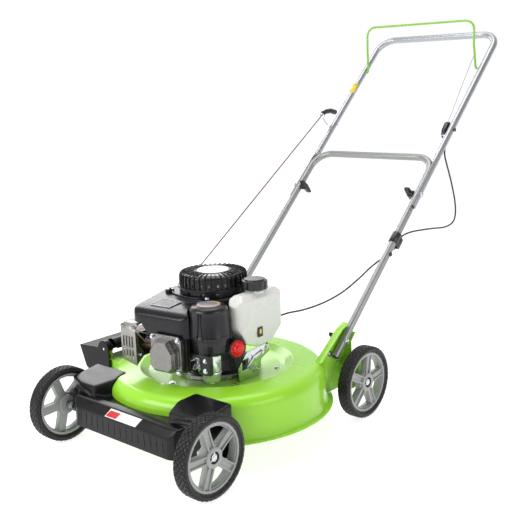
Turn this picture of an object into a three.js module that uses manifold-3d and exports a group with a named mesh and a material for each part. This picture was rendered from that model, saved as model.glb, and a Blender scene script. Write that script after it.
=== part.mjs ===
// Petrol rotary lawn mower with a side-discharge deck and a folding handle.
// Millimetres. +Z is up, -Y is forward, +X is the operator's left. The ground is z = 0.
import * as THREE from "three";
import { mergeVertices } from "three/addons/utils/BufferGeometryUtils.js";
import Module from "manifold-3d";

const wasm = await Module();
wasm.setup();

// ---------------------------------------------------------------- driving dimensions
const GAP = 0.3; // clearance between touching pieces
const SHEET = 2.4; // pressed steel thickness
const SIDES = [
  { name: "left", sign: 1 },
  { name: "right", sign: -1 },
];

const WHEEL_RADIUS = 100;
const WHEEL_WIDTH = 38;
const WHEEL_PLANE_X = 273; // middle of each wheel
const AXLE_Y = 302.5; // half the wheelbase
const RIM_RADIUS = 83;
const AXLE_RADIUS = 6;
const SPOKES = 5;

const ENGINE_Y = 6; // the crankshaft stands at x = 0, y = ENGINE_Y
const LIP_RADIUS = 312;
const WALL_RADIUS = 292;
const DECK_LIP_Z = 76;
const DECK_TOP_Z = 184;
const CREASE_RADIUS = 206; // where the deck turns down into the dish that holds the engine
const CREASE_Z = 188;
const DISH_RADIUS = 180;
const DISH_Z = 172;
const CRANK_HOLE_RADIUS = 60;

const BUMPER_HALF_WIDTH = 250;
const BUMPER_FRONT_Y = -338;
const BUMPER_BOTTOM_Z = 74;

const CHUTE_FRONT_Y = -150;
const CHUTE_REAR_Y = 60;
const CHUTE_MOUTH_X = -316;
const CHUTE_HINGE_X = -290;
const CHUTE_HINGE_Z = 206;
const CHUTE_OUTER_X = -398;
const HINGE_EAR_Y = [-130, 32];
const HINGE_EAR_WIDTH = 8;

const HANDLE_PIVOT = { y: 275.2, z: 215.8 }; // lower handle bolt
const HANDLE_ANGLE = THREE.MathUtils.degToRad(43.18);
const TUBE_RADIUS = 11;
const TUBE_WALL = 1.4;
const TUBE_BEND = 60;
const LOWER_LEG_X = 225.8;
const LOWER_END_S = -54;
const LOWER_TOP_S = 668.7;
const UPPER_LEG_X = 229.9;
const UPPER_END_S = 477;
const UPPER_TOP_S = 1214.7;
const FOLD_S = 523.6; // knob bolts that join the two handles
const CONTACT_X = 231; // plane where the flattened tubes meet
const FLAT_END_S = 664;

const BAIL_S = 1051;
const BAIL_RADIUS = 3.6;

const HEAD_ANGLE = THREE.MathUtils.degToRad(6.5); // cylinder points forward and a little left
const RECOIL_RADIUS = 88;
const INTAKE = { x: 84, y: -128.3 }; // carburettor and air filter, in the cylinder's frame
const TANK = { x0: 112, x1: 160, y0: -68, y1: 106, z0: 258, z1: 398 };
const CAP = { x: 131, y: 24, z0: 403.4, z1: 430 };

// ---------------------------------------------------------------- materials
const finish = (color, roughness, metalness = 0) => ({ color, roughness, metalness });
const LIME = finish(0x8ee62e, 0.28);
const BLACK_PLASTIC = finish(0x2a2a2d, 0.5);
const RIM_GREY = finish(0x8a8f87, 0.45);
const RUBBER = finish(0x232326, 0.85);
const SILVER_PAINT = finish(0xb6bab8, 0.35, 0.5);
const ZINC = finish(0xc6cbd0, 0.3, 1);
const CAST_ALLOY = finish(0xb9b8b4, 0.5, 0.9);
const DARK_STEEL = finish(0x55524e, 0.5, 0.9);
const STAINLESS = finish(0xb4b1aa, 0.35, 1);
const WHITE_PLASTIC = finish(0xeef0ea, 0.4);
const RED_RUBBER = finish(0xe02020, 0.4);
const ROPE_FIBRE = finish(0x6d5350, 0.9);

// ---------------------------------------------------------------- shape helpers
function solid(geometry) {
  const bare = geometry.index ? geometry.toNonIndexed() : geometry.clone();
  bare.deleteAttribute("normal");
  bare.deleteAttribute("uv");
  const merged = mergeVertices(bare, 1e-4);
  return new wasm.Manifold(
    new wasm.Mesh({
      numProp: 3,
      vertProperties: merged.attributes.position.array,
      triVerts: new Uint32Array(merged.index.array),
    }),
  );
}

function geometryOf(manifold) {
  const mesh = manifold.getMesh();
  const geometry = new THREE.BufferGeometry();
  geometry.setAttribute("position", new THREE.BufferAttribute(mesh.vertProperties, 3));
  geometry.setIndex(new THREE.BufferAttribute(mesh.triVerts, 1));
  return geometry;
}

const largest = (whole) => whole.decompose().reduce((a, b) => (a.volume() > b.volume() ? a : b));
const join = (first, ...others) => others.reduce((whole, part) => whole.add(part), first);
const cut = (first, ...tools) => tools.reduce((rest, tool) => rest.subtract(tool), first);

// Adds one named piece to a group, with a material of its own.
function piece(group, name, shape, look) {
  const geometry = shape.isBufferGeometry ? shape : geometryOf(shape);
  const mesh = new THREE.Mesh(geometry, new THREE.MeshStandardMaterial(look));
  mesh.name = name;
  group.add(mesh);
  return mesh;
}

function block(x, y, z) {
  const geometry = new THREE.BoxGeometry(x[1] - x[0], y[1] - y[0], z[1] - z[0]);
  return geometry.translate((x[0] + x[1]) / 2, (y[0] + y[1]) / 2, (z[0] + z[1]) / 2);
}

// A profile of [radius, z] points turned about the Z axis.
function turned(profile, segments) {
  const points = profile.map(([r, z]) => new THREE.Vector2(r, z));
  if (THREE.ShapeUtils.area(points) < 0) points.reverse();
  return new THREE.LatheGeometry(points, segments).rotateX(Math.PI / 2);
}

// A solid rod along Z.
function rod(radius, z0, z1, segments = 16) {
  return turned([[0, z0], [radius, z0], [radius, z1], [0, z1]], segments);
}

// A rod along X from x0 to x1.
function rodX(radius, x0, x1, y = 0, z = 0, segments = 16) {
  return rod(radius, Math.min(x0, x1), Math.max(x0, x1), segments).rotateY(Math.PI / 2).translate(0, y, z);
}

function ring(outer, inner, z0, z1, segments) {
  return turned([[inner, z0], [outer, z0], [outer, z1], [inner, z1], [inner, z0]], segments);
}

function outline(points) {
  return new THREE.Shape(points.map(([x, y]) => new THREE.Vector2(x, y)));
}

function roundedOutline(x0, y0, x1, y1, r) {
  const shape = new THREE.Shape();
  shape.moveTo(x0 + r, y0);
  shape.lineTo(x1 - r, y0);
  shape.absarc(x1 - r, y0 + r, r, -Math.PI / 2, 0);
  shape.lineTo(x1, y1 - r);
  shape.absarc(x1 - r, y1 - r, r, 0, Math.PI / 2);
  shape.lineTo(x0 + r, y1);
  shape.absarc(x0 + r, y1 - r, r, Math.PI / 2, Math.PI);
  shape.lineTo(x0, y0 + r);
  shape.absarc(x0 + r, y0 + r, r, Math.PI, 1.5 * Math.PI);
  return shape;
}

const PLAIN = { bevelEnabled: false, curveSegments: 4 };

// An outline in the XY plane, standing from z0 to z1.
function prismZ(shape, z0, z1) {
  return new THREE.ExtrudeGeometry(shape, { ...PLAIN, depth: z1 - z0 }).translate(0, 0, z0);
}

// An outline given as (y, z) points, running along X from x0 to x1.
function prismX(shape, x0, x1) {
  return new THREE.ExtrudeGeometry(shape, { ...PLAIN, depth: x1 - x0 })
    .rotateY(Math.PI / 2)
    .rotateX(Math.PI / 2)
    .translate(x0, 0, 0);
}

// A path through listed points, with one step for each stretch between two of them.
class Route extends THREE.Curve {
  constructor(points) {
    super();
    this.points = points;
  }
  getPoint(t) {
    const last = this.points.length - 1;
    const index = Math.min(Math.floor(t * last + 1e-9), last - 1);
    return this.points[index].clone().lerp(this.points[index + 1], t * last - index);
  }
  getPointAt(t) {
    return this.getPoint(t);
  }
  getTangentAt(t) {
    const last = this.points.length - 1;
    const index = Math.round(t * last);
    const before = this.points[Math.max(index - 1, 0)];
    const after = this.points[Math.min(index + 1, last)];
    return after.clone().sub(before).normalize();
  }
}

// Corner points joined by straight lines. Each inner corner is rounded, by one radius or a listed one.
function roundedRoute(corners, radii, steps) {
  const points = [corners[0]];
  for (let i = 1; i < corners.length - 1; i += 1) {
    const radius = Array.isArray(radii) ? radii[i - 1] : radii;
    const toBack = corners[i - 1].clone().sub(corners[i]).normalize();
    const toNext = corners[i + 1].clone().sub(corners[i]).normalize();
    const half = toBack.angleTo(toNext) / 2;
    const start = corners[i].clone().addScaledVector(toBack, radius / Math.tan(half));
    const middle = toBack.clone().add(toNext).normalize();
    const centre = corners[i].clone().addScaledVector(middle, radius / Math.sin(half));
    const axis = toBack.clone().cross(toNext).normalize();
    for (let k = 0; k <= steps; k += 1) {
      const turn = ((Math.PI - 2 * half) * -k) / steps;
      points.push(start.clone().sub(centre).applyAxisAngle(axis, turn).add(centre));
    }
  }
  points.push(corners[corners.length - 1]);
  return points;
}

function circleShape(radius, sides) {
  const points = [];
  for (let k = 0; k < sides; k += 1) {
    const a = (2 * Math.PI * k) / sides;
    points.push([radius * Math.cos(a), radius * Math.sin(a)]);
  }
  return outline(points);
}

function tube(points, radius, sides) {
  return new THREE.ExtrudeGeometry(circleShape(radius, sides), {
    steps: points.length - 1,
    extrudePath: new Route(points),
  });
}

// A smooth cord through hand-chosen points.
function cord(points, radius, steps, sides) {
  const curve = new THREE.CatmullRomCurve3(points.map((p) => new THREE.Vector3(...p)));
  return tube(curve.getSpacedPoints(steps), radius, sides);
}

const vector = (x, y, z) => new THREE.Vector3(x, y, z);

// ---------------------------------------------------------------- the machine
const mower = new THREE.Group();
const handle = new THREE.Group(); // its Y runs up the handle tubes, its Z points up and forward
handle.position.set(0, HANDLE_PIVOT.y, HANDLE_PIVOT.z);
handle.rotation.x = HANDLE_ANGLE;
const engine = new THREE.Group();
engine.position.set(0, ENGINE_Y, 0);
const head = new THREE.Group(); // cylinder, head, shroud and exhaust; its -Y is the cylinder's axis
head.rotation.z = HEAD_ANGLE;
engine.add(head);
mower.add(handle, engine);

// ---------------------------------------------------------------- deck
function deckProfile(offset) {
  const lip = LIP_RADIUS + offset;
  const profile = [[lip, DECK_LIP_Z - 2 + offset], [lip, DECK_LIP_Z + offset]];
  profile.push([WALL_RADIUS + 6 + offset, DECK_LIP_Z + 3 + offset]);
  profile.push([WALL_RADIUS + 1 + offset, DECK_LIP_Z + 22]);
  const shoulder = 34;
  for (let k = 0; k <= 4; k += 1) {
    const a = (k * Math.PI) / 2 / 4;
    profile.push([
      WALL_RADIUS - shoulder + (shoulder + offset) * Math.cos(a),
      DECK_TOP_Z - shoulder + (shoulder + offset) * Math.sin(a),
    ]);
  }
  profile.push([CREASE_RADIUS, CREASE_Z + offset], [DISH_RADIUS + 6, DISH_Z + 3 + offset]);
  profile.push([DISH_RADIUS - 6, DISH_Z + offset]);
  return profile;
}

const DECK_SEGMENTS = 40;

// The deck's outer form as a full solid, grown by a clearance, for trimming its neighbours.
function deckForm(offset) {
  const profile = [[0, DECK_LIP_Z - 40], [LIP_RADIUS + offset, DECK_LIP_Z - 40], ...deckProfile(offset)];
  return solid(turned([...profile, [0, DISH_Z + offset]], DECK_SEGMENTS).translate(0, ENGINE_Y, 0));
}

function makeDeck() {
  const outer = deckProfile(0);
  const inner = deckProfile(-SHEET).reverse();
  inner.pop(); // the flat lip has no inner side
  const profile = [...outer, [CRANK_HOLE_RADIUS, DISH_Z], [CRANK_HOLE_RADIUS, DISH_Z - SHEET], ...inner];
  profile.push([WALL_RADIUS + 6 - SHEET, DECK_LIP_Z - 2], [LIP_RADIUS, DECK_LIP_Z - 2]);
  const shell = solid(turned(profile, DECK_SEGMENTS).translate(0, ENGINE_Y, 0));
  const tunnelX = [CHUTE_MOUTH_X, -200];
  const tunnelY = [CHUTE_FRONT_Y + 8, CHUTE_REAR_Y - 8];
  const outside = solid(block(tunnelX, tunnelY, [DECK_LIP_Z - 2, DECK_TOP_Z - 8]));
  const insideY = [tunnelY[0] + SHEET, tunnelY[1] - SHEET];
  const inside = solid(block([-400, -190], insideY, [DECK_LIP_Z - 10, DECK_TOP_Z - 8 - SHEET]));
  const wall = cut(outside, deckForm(-0.6));
  const earX = [CHUTE_HINGE_X - 7, CHUTE_HINGE_X + 8];
  const ears = HINGE_EAR_Y.map((y) => {
    const ear = block(earX, [y, y + HINGE_EAR_WIDTH], [DECK_TOP_Z - 10, CHUTE_HINGE_Z + 7]);
    return cut(solid(ear), pinHole());
  });
  return cut(join(shell, wall, ...ears), inside);
}

function pinHole() {
  const hole = rod(3.4, CHUTE_FRONT_Y - 20, CHUTE_REAR_Y + 20, 12);
  return solid(hole.rotateX(-Math.PI / 2).translate(CHUTE_HINGE_X, 0, CHUTE_HINGE_Z));
}
piece(mower, "deck_shell", makeDeck(), LIME);

// ---------------------------------------------------------------- front axle carrier
const CARRIER_WALL = 4;
const CARRIER_BLOCK_FRONT_Y = -303;

// One corner block behind a front wheel; inset gives the hollow inside.
function carrierBlock(sign, inset) {
  const plan = [
    [118 + inset, -250],
    [140 + inset, CARRIER_BLOCK_FRONT_Y + inset],
    [197, CARRIER_BLOCK_FRONT_Y + inset],
    [BUMPER_HALF_WIDTH - inset, -286 + inset],
    [BUMPER_HALF_WIDTH - inset, -200 - inset],
    [130, -200 - inset],
  ].map(([x, y]) => [sign * x, y]);
  const side = [[-310, 40], [-310, 172 - inset], [-290, 176 - inset], [-195, 190 - inset], [-195, 40]];
  const bottom = inset ? 40 : 60;
  return solid(prismZ(outline(plan), bottom, 200)).intersect(solid(prismX(outline(side), -260, 260)));
}

function carrierBeam(inset) {
  const w = 205 - inset;
  const front = BUMPER_FRONT_Y + inset;
  const plan = [[-w, -230], [-w, -300], [20 - w, front + 6], [36 - w, front]];
  plan.push([w - 36, front], [w - 20, front + 6], [w, -300], [w, -230]);
  const bottom = BUMPER_BOTTOM_Z - inset * 4;
  const top = 142 - inset;
  const side = [[-200, bottom], [-322 + inset, bottom], [front + 4, bottom + 8], [front, bottom + 24]];
  side.push([front, 124], [-324 + inset, top + 5], [-302, top + 8], [-285, top], [-200, top]);
  return solid(prismZ(outline(plan), 40, 200)).intersect(solid(prismX(outline(side), -260, 260)));
}

function makeCarrier() {
  const form = (inset) => join(carrierBeam(inset), carrierBlock(1, inset), carrierBlock(-1, inset));
  const axleHole = solid(rodX(AXLE_RADIUS + GAP, -300, 300, -AXLE_Y, WHEEL_RADIUS));
  return cut(form(0), form(CARRIER_WALL), deckForm(0.4), axleHole);
}
piece(mower, "front_axle_carrier", makeCarrier(), BLACK_PLASTIC);

// ---------------------------------------------------------------- rear handle brackets
const WEB_X = 212;
const AXLE_PLATE_X = 250;

// A strip of sheet along listed (y, z) points, seen from the side, thickened by the offset.
function strip(points, [offsetY, offsetZ]) {
  const back = [...points].reverse().map(([y, z]) => [y + offsetY, z + offsetZ]);
  return outline([...points, ...back]);
}

function makeRearBracket(sign) {
  const across = (shape, a, b) => {
    const ends = [sign * a, sign * b];
    return solid(prismX(shape, Math.min(...ends), Math.max(...ends)));
  };
  const web = outline([
    [164, 179], [262, 250], [292, 261], [314, 233], [293, 211],
    [297, 170], [338, 150], [338, 80], [206, 80], [180, 150],
  ]);
  const frontFlange = strip([[164, 181], [262, 252], [293, 263]], [1, -2.4]);
  const rearFlange = strip([[314.6, 232.2], [293.4, 210.9], [294, 165]], [2.6, 0]);
  const boxOuter = outline([[268, 80], [338, 80], [338, 150], [297, 170], [268, 150]]);
  const boxInner = outline([[270.4, 70], [335.6, 70], [335.6, 148.4], [297, 167.2], [270.4, 148.6]]);
  const axleBox = cut(
    across(boxOuter, WEB_X, AXLE_PLATE_X),
    across(boxInner, WEB_X + SHEET, AXLE_PLATE_X - SHEET),
  );
  const bracket = join(
    across(web, WEB_X, WEB_X + SHEET),
    across(frontFlange, WEB_X, WEB_X + 20),
    across(rearFlange, WEB_X, WEB_X + 26),
    axleBox,
  );
  const boltHole = solid(rodX(4 + GAP, 190 * sign, 260 * sign, HANDLE_PIVOT.y, HANDLE_PIVOT.z));
  const axleHole = solid(rodX(AXLE_RADIUS + GAP, 240 * sign, 260 * sign, AXLE_Y, WHEEL_RADIUS));
  return largest(cut(bracket, deckForm(0.4), boltHole, axleHole));
}
for (const { name, sign } of SIDES) piece(mower, `handle_bracket_${name}`, makeRearBracket(sign), LIME);

// ---------------------------------------------------------------- wheels
const WHEEL_SEGMENTS = 28;

function makeTyre() {
  const half = WHEEL_WIDTH / 2;
  const r = WHEEL_RADIUS;
  const profile = [[RIM_RADIUS + GAP, -half + 4], [r - 9, -half], [r, 7 - half]];
  profile.push([r, half - 7], [r - 9, half], [RIM_RADIUS + GAP, half - 4]);
  return turned([...profile, profile[0]], WHEEL_SEGMENTS);
}

function spokeWindow(index) {
  const halfSpoke = 11;
  const limit = (r) => Math.PI / SPOKES - Math.asin(halfSpoke / r);
  const points = [];
  for (const [r, from, to, steps] of [[31, 1, -1, 1], [73, -1, 1, 3]]) {
    for (let k = 0; k <= steps; k += 1) {
      const a = limit(r) * (from + ((to - from) * k) / steps);
      points.push([r * Math.cos(a), r * Math.sin(a)]);
    }
  }
  return solid(prismZ(outline(points), -30, 30).rotateZ(((index + 0.5) * 2 * Math.PI) / SPOKES));
}

function makeRim() {
  const barrel = solid(ring(RIM_RADIUS, RIM_RADIUS - 7, -14, 14, WHEEL_SEGMENTS));
  const web = solid(rod(RIM_RADIUS - 4, -7, 9, WHEEL_SEGMENTS));
  const hub = solid(rod(25, -16, 15, 16));
  const bore = solid(rod(AXLE_RADIUS + 0.5, -40, 40, 12));
  const recess = solid(rod(14.5, 8, 30, 12));
  const windows = [];
  for (let k = 0; k < SPOKES; k += 1) windows.push(spokeWindow(k));
  return cut(join(cut(web, ...windows), barrel, hub), bore, recess);
}

function hexagon(radius) {
  return circleShape(radius, 6);
}

// A hex bolt along Z with its head at z = 0 upward, its shank down, and a nut near its end.
function axleBolt(shankLength, nutFrom, nutTo) {
  const headShape = solid(prismZ(hexagon(9.8), 0, 6));
  const shank = solid(rod(AXLE_RADIUS, -shankLength, 1, 16));
  const nut = solid(prismZ(hexagon(9.8), -nutTo, -nutFrom));
  return join(headShape, shank, nut);
}

// How far each axle's wheels have rolled, in wheel segments, and the plate that their bolts clamp to.
const AXLES = [
  { name: "front", y: -AXLE_Y, roll: 4, plate: BUMPER_HALF_WIDTH - CARRIER_WALL },
  { name: "rear", y: AXLE_Y, roll: 2, plate: AXLE_PLATE_X - SHEET },
];
for (const axle of AXLES) {
  for (const side of SIDES) {
    const wheel = new THREE.Group();
    wheel.position.set(side.sign * WHEEL_PLANE_X, axle.y, WHEEL_RADIUS);
    wheel.rotation.y = (side.sign * Math.PI) / 2; // local Z points outboard
    mower.add(wheel);
    const label = `${axle.name}_${side.name}`;
    piece(wheel, `tyre_${label}`, makeTyre(), RUBBER);
    piece(wheel, `rim_${label}`, makeRim(), RIM_GREY).rotation.z = (axle.roll * 2 * Math.PI) / WHEEL_SEGMENTS;
    const seat = WHEEL_PLANE_X - 8 - GAP; // the head rests in the hub's recess
    const nutFrom = seat + 16.6 - axle.plate;
    const bolt = piece(wheel, `axle_bolt_${label}`, axleBolt(nutFrom + 10, nutFrom, nutFrom + 6), ZINC);
    bolt.position.z = 8 + GAP;
  }
}

// ---------------------------------------------------------------- side discharge deflector
const FLAP_WALL = 3;

const HUMP_RADIUS = 24; // the flap's rounded cover over its own hinge

// A hollow hood: a top panel, two end walls and a hump over the hinge, slotted for the deck's ears.
function makeFlap() {
  const x = CHUTE_HINGE_X;
  const end = CHUTE_OUTER_X;
  const alongY = (shape, y0, y1) => solid(prismZ(shape, -y1, -y0).rotateX(Math.PI / 2));
  const panel = outline([[x - 9, 209], [end, 201], [end, 198], [x - 9, 205]]);
  const strap = outline([[x - 12, 208], [x, 211], [x, 202], [x - 12, 204]]);
  const wall = (innerX) => {
    return outline([[innerX, 206], [x, 207], [end, 200], [-374, 140], [-352, 128], [innerX, 128]]);
  };
  const disc = circleShape(HUMP_RADIUS, 24);
  const nose = (y0, y1) => solid(prismZ(disc, -y1, -y0).rotateX(Math.PI / 2).translate(x, 0, CHUTE_HINGE_Z));
  const hump = cut(
    nose(CHUTE_FRONT_Y + 1, CHUTE_REAR_Y - 1),
    solid(rod(HUMP_RADIUS - 3, -200, 200, 24).rotateX(Math.PI / 2).translate(x, 0, CHUTE_HINGE_Z)),
    solid(block([x - 40, x + 40], [-200, 200], [CHUTE_HINGE_Z - 40, CHUTE_HINGE_Z - 2])),
  );
  const barrel = rod(7, -28, 118, 16).rotateX(Math.PI / 2).translate(x, 0, CHUTE_HINGE_Z);
  const earSlots = HINGE_EAR_Y.map((y) => {
    return solid(block([x - 14, x + 40], [y - 2, y + HINGE_EAR_WIDTH + 2], [150, 240]));
  });
  return cut(
    join(
      alongY(panel, CHUTE_FRONT_Y, CHUTE_REAR_Y),
      alongY(wall(-266), CHUTE_FRONT_Y, CHUTE_FRONT_Y + FLAP_WALL),
      alongY(wall(-294), CHUTE_REAR_Y - FLAP_WALL, CHUTE_REAR_Y),
      nose(CHUTE_FRONT_Y, CHUTE_FRONT_Y + FLAP_WALL),
      nose(CHUTE_REAR_Y - FLAP_WALL, CHUTE_REAR_Y),
      hump,
      alongY(strap, -118, 28),
      solid(barrel),
    ),
    pinHole(),
    ...earSlots,
  );
}

function makeHingePin() {
  const pin = rod(3, -40, 132, 12).rotateX(Math.PI / 2);
  return pin.translate(CHUTE_HINGE_X, 0, CHUTE_HINGE_Z);
}
piece(mower, "discharge_flap", makeFlap(), BLACK_PLASTIC);
piece(mower, "flap_hinge_pin", makeHingePin(), ZINC);

// ---------------------------------------------------------------- handles
function handleRoute(legX, endS, topS, extra) {
  const corners = [[legX, endS - extra], [legX, topS], [-legX, topS], [-legX, endS - extra]];
  return roundedRoute(corners.map(([x, s]) => vector(x, s, 0)), TUBE_BEND, 4);
}

// A bent tube with open ends. Where the two handles meet, both are pressed flat on the contact plane.
function makeHandle(legX, endS, topS, contactSide, flatFrom, flatTo) {
  const outer = solid(tube(handleRoute(legX, endS, topS, 0), TUBE_RADIUS, 12));
  const inner = solid(tube(handleRoute(legX, endS, topS, 5), TUBE_RADIUS - TUBE_WALL, 8));
  const planeX = CONTACT_X + (contactSide * GAP) / 2;
  const wallX = planeX + contactSide * TUBE_WALL;
  const beyond = (x, sign) => {
    const ends = [sign * x, sign * (CONTACT_X - contactSide * 40)];
    return solid(block([Math.min(...ends), Math.max(...ends)], [flatFrom, flatTo], [-20, 20]));
  };
  const outerFlat = cut(outer, beyond(planeX, 1), beyond(planeX, -1));
  return cut(outerFlat, cut(inner, beyond(wallX, 1), beyond(wallX, -1)));
}

const crossHole = (radius, s, x0, x1) => solid(rodX(radius, x0, x1, s, 0, 12));
const lowerHandle = cut(
  makeHandle(LOWER_LEG_X, LOWER_END_S, LOWER_TOP_S, -1, 460, FLAT_END_S + 10),
  crossHole(4 + GAP, 0, -260, 260),
  crossHole(4 + GAP, FOLD_S, -260, 260),
);
piece(handle, "lower_handle", lowerHandle, SILVER_PAINT);

const GUIDE_S = 800;
const STOP_S = 786;
const upperHandle = cut(
  makeHandle(UPPER_LEG_X, UPPER_END_S, UPPER_TOP_S, 1, UPPER_END_S - 20, FLAT_END_S),
  crossHole(4 + GAP, FOLD_S, -260, 260),
  crossHole(BAIL_RADIUS + 0.5, BAIL_S, -260, 260),
  crossHole(3 + GAP, GUIDE_S, -260, -200),
  crossHole(3 + GAP, STOP_S, 200, 260),
);
piece(handle, "upper_handle", upperHandle, SILVER_PAINT);

// Carriage bolt along Z, domed head outboard at z = 0, shank inboard.
function carriageBolt(length) {
  return turned([[0, -length], [4, -length], [4, 0], [9, 0], [8, 2.4], [4.5, 4], [0, 4.4]], 12);
}

// Winged clamping knob: its flat boss faces +Z, with a blind bore for the bolt.
function wingKnob() {
  const boss = turned([[0, -20], [9, -20], [11, -14], [11, 0], [0, 0]], 16);
  const wing = new THREE.Shape();
  wing.moveTo(-24, -5);
  wing.quadraticCurveTo(0, -9, 24, -5);
  wing.absarc(24, 0, 5, -Math.PI / 2, Math.PI / 2);
  wing.quadraticCurveTo(0, 9, -24, 5);
  wing.absarc(-24, 0, 5, Math.PI / 2, 1.5 * Math.PI);
  return cut(join(solid(boss), solid(prismZ(wing, -21, -7))), solid(rod(4 + GAP, -16, 5, 12)));
}

const FASTENERS = [
  { name: "fold", s: FOLD_S, headX: UPPER_LEG_X + TUBE_RADIUS + GAP, knobX: LOWER_LEG_X - TUBE_RADIUS - GAP },
  { name: "base", s: 0, headX: LOWER_LEG_X + TUBE_RADIUS + GAP, knobX: WEB_X - GAP },
];
for (const fastener of FASTENERS) {
  for (const { name, sign } of SIDES) {
    const line = new THREE.Group();
    line.position.set(0, fastener.s, 0);
    line.rotation.y = (sign * Math.PI) / 2; // local Z points outboard
    handle.add(line);
    const length = fastener.headX - fastener.knobX + 14;
    piece(line, `${fastener.name}_bolt_${name}`, carriageBolt(length), ZINC).position.z = fastener.headX;
    piece(line, `${fastener.name}_knob_${name}`, wingKnob(), BLACK_PLASTIC).position.z = fastener.knobX;
  }
}

// ---------------------------------------------------------------- bail lever and brake cable
function makeBail() {
  const corners = [
    [UPPER_LEG_X - 3, BAIL_S, 0], [209, BAIL_S, 0], [206, 1100, 66], [206, 1150, 119],
  ];
  const mirrored = [...corners].reverse().map(([x, s, n]) => [-x, s, n]);
  const radii = [12, 20, 30, 30, 20, 12];
  const route = roundedRoute([...corners, ...mirrored].map((p) => vector(...p)), radii, 4);
  return tube(route, BAIL_RADIUS, 8);
}
piece(handle, "bail_lever", makeBail(), LIME);

function makeCableStop() {
  const side = outline([[760, 4], [772, -5], [806, -5], [812, 8], [800, 15], [776, 13]]);
  const body = solid(prismX(side, 207, 218.4));
  const screw = solid(rodX(3, 210, 243, STOP_S, 0, 12));
  const screwHead = solid(rodX(6, 241.4, 245, STOP_S, 0, 6));
  const wireBore = solid(rod(1.4, 750, 830, 8).rotateX(-Math.PI / 2).translate(212.5, 0, 9));
  return cut(join(body, screw, screwHead), wireBore);
}
piece(handle, "cable_stop", makeCableStop(), BLACK_PLASTIC);

const BARE_WIRE = [[212.5, 815, 9.5], [213, 840, 13], [212, 920, 24], [210.5, 1000, 34], [210, 1066, 42]];
piece(handle, "brake_inner_wire", cord(BARE_WIRE, 0.9, 8, 8), DARK_STEEL);

// The clip is a band round the lower left leg with a lug on its rear side.
const CLIP_S = 357;
function makeCableClip() {
  const band = solid(ring(TUBE_RADIUS + 3, TUBE_RADIUS + GAP, -17, 17, 20));
  const lug = solid(block([-8, 8], [-30, -13], [-17, 17]));
  const lugHole = solid(rod(5.6, -30, 30, 12).translate(0, -22, 0));
  return geometryOf(cut(join(band, lug), lugHole)).rotateX(Math.PI / 2);
}
const clip = piece(handle, "cable_clip", makeCableClip(), BLACK_PLASTIC);
clip.position.set(LOWER_LEG_X, CLIP_S, 0);

// ---------------------------------------------------------------- engine, from the deck up
const BASE_Z = DISH_Z + GAP;
const CRANK_RADIUS = 12.5;
const CASE_TOP_Z = 296;
const CYLINDER = { halfWidth: 50, from: 60, to: 150, z0: 216, z1: 300 };
const HEAD_FRONT = 196;
const FILTER_RADIUS = 53.5;
const FILTER_SEAM_Z = 303;

// Cooling fins across the cylinder's axis.
function finStack(from, to, count, halfWidth, z0, z1) {
  const fins = [];
  for (let k = 0; k < count; k += 1) {
    const y = -(from + ((to - from) * (k + 0.5)) / count);
    fins.push(solid(block([-halfWidth, halfWidth], [y - 1.6, y + 1.6], [z0, z1])));
  }
  return fins;
}

// The room the air filter takes from the castings and the shroud beside it.
function filterRoom(clearance, z0) {
  return solid(rod(FILTER_RADIUS + clearance, z0, 420, 28).translate(INTAKE.x, INTAKE.y, 0));
}

function makeCrankcase() {
  const base = solid(rod(118, BASE_Z, BASE_Z + 11, 32));
  const profile = [[0, BASE_Z], [88, BASE_Z], [76, 210], [76, CASE_TOP_Z - 12]];
  profile.push([60, CASE_TOP_Z], [0, CASE_TOP_Z]);
  const { halfWidth, from, to, z0, z1 } = CYLINDER;
  const barrel = solid(block([12 - halfWidth, halfWidth - 12], [-to, -from], [z0 + 10, z1 - 10]));
  const bore = solid(rod(CRANK_RADIUS + 0.8, BASE_Z - 20, CASE_TOP_Z + 20, 20));
  const fins = finStack(from + 14, to, 6, halfWidth, z0, z1);
  return cut(join(base, solid(turned(profile, 24)), barrel, ...fins), bore, filterRoom(1, 258));
}
piece(head, "crankcase_and_cylinder", makeCrankcase(), CAST_ALLOY);

const PLUG = { y: -178, z: 282 };
function makeHead() {
  const { to, z0, z1 } = CYLINDER;
  const core = solid(block([-44, 44], [-HEAD_FRONT, -to - GAP], [z0 + 4, z1 + 4]));
  const plugHole = solid(rodX(6.3, -60, -30, PLUG.y, PLUG.z, 12));
  const fins = finStack(to + 8, HEAD_FRONT - 8, 3, 52, z0, z1 + 4);
  return cut(join(core, ...fins), plugHole, filterRoom(1, 258));
}
piece(head, "cylinder_head", makeHead(), CAST_ALLOY);

// Valve cover: a square flange with four screws and an eight-sided dome. Local Z points forward.
function makeValveCover() {
  const flange = solid(prismZ(roundedOutline(-49, -49, 49, 49, 12), 0, 7));
  const octagon = [[-34, -26], [-24, -36], [24, -36], [34, -26], [34, 8], [16, 34], [-16, 34], [-34, 8]];
  const domeOutline = outline(octagon);
  const bevel = { bevelThickness: 8, bevelSize: 6, bevelSegments: 1 };
  const dome = solid(new THREE.ExtrudeGeometry(domeOutline, { ...bevel, depth: 20 }));
  const screws = [[-1, -1], [-1, 1], [1, -1], [1, 1]].map(([a, b]) =>
    solid(prismZ(hexagon(5), 6, 11).translate(a * 41, b * 41, 0)),
  );
  return join(flange, dome.trimByPlane([0, 0, 1], 0), ...screws);
}
const cover = piece(head, "valve_cover", makeValveCover(), CAST_ALLOY);
cover.rotation.x = Math.PI / 2;
cover.position.set(0, -HEAD_FRONT - GAP, 264);

function makeSparkPlug() {
  const profile = [[0, 0], [6, 0], [6, 21], [10, 21], [10, 29], [7, 29], [7, 44], [4, 46], [4, 52], [0, 52]];
  return turned(profile, 12).rotateY(-Math.PI / 2).translate(-32, PLUG.y, PLUG.z);
}
piece(head, "spark_plug", makeSparkPlug(), WHITE_PLASTIC);

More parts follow.
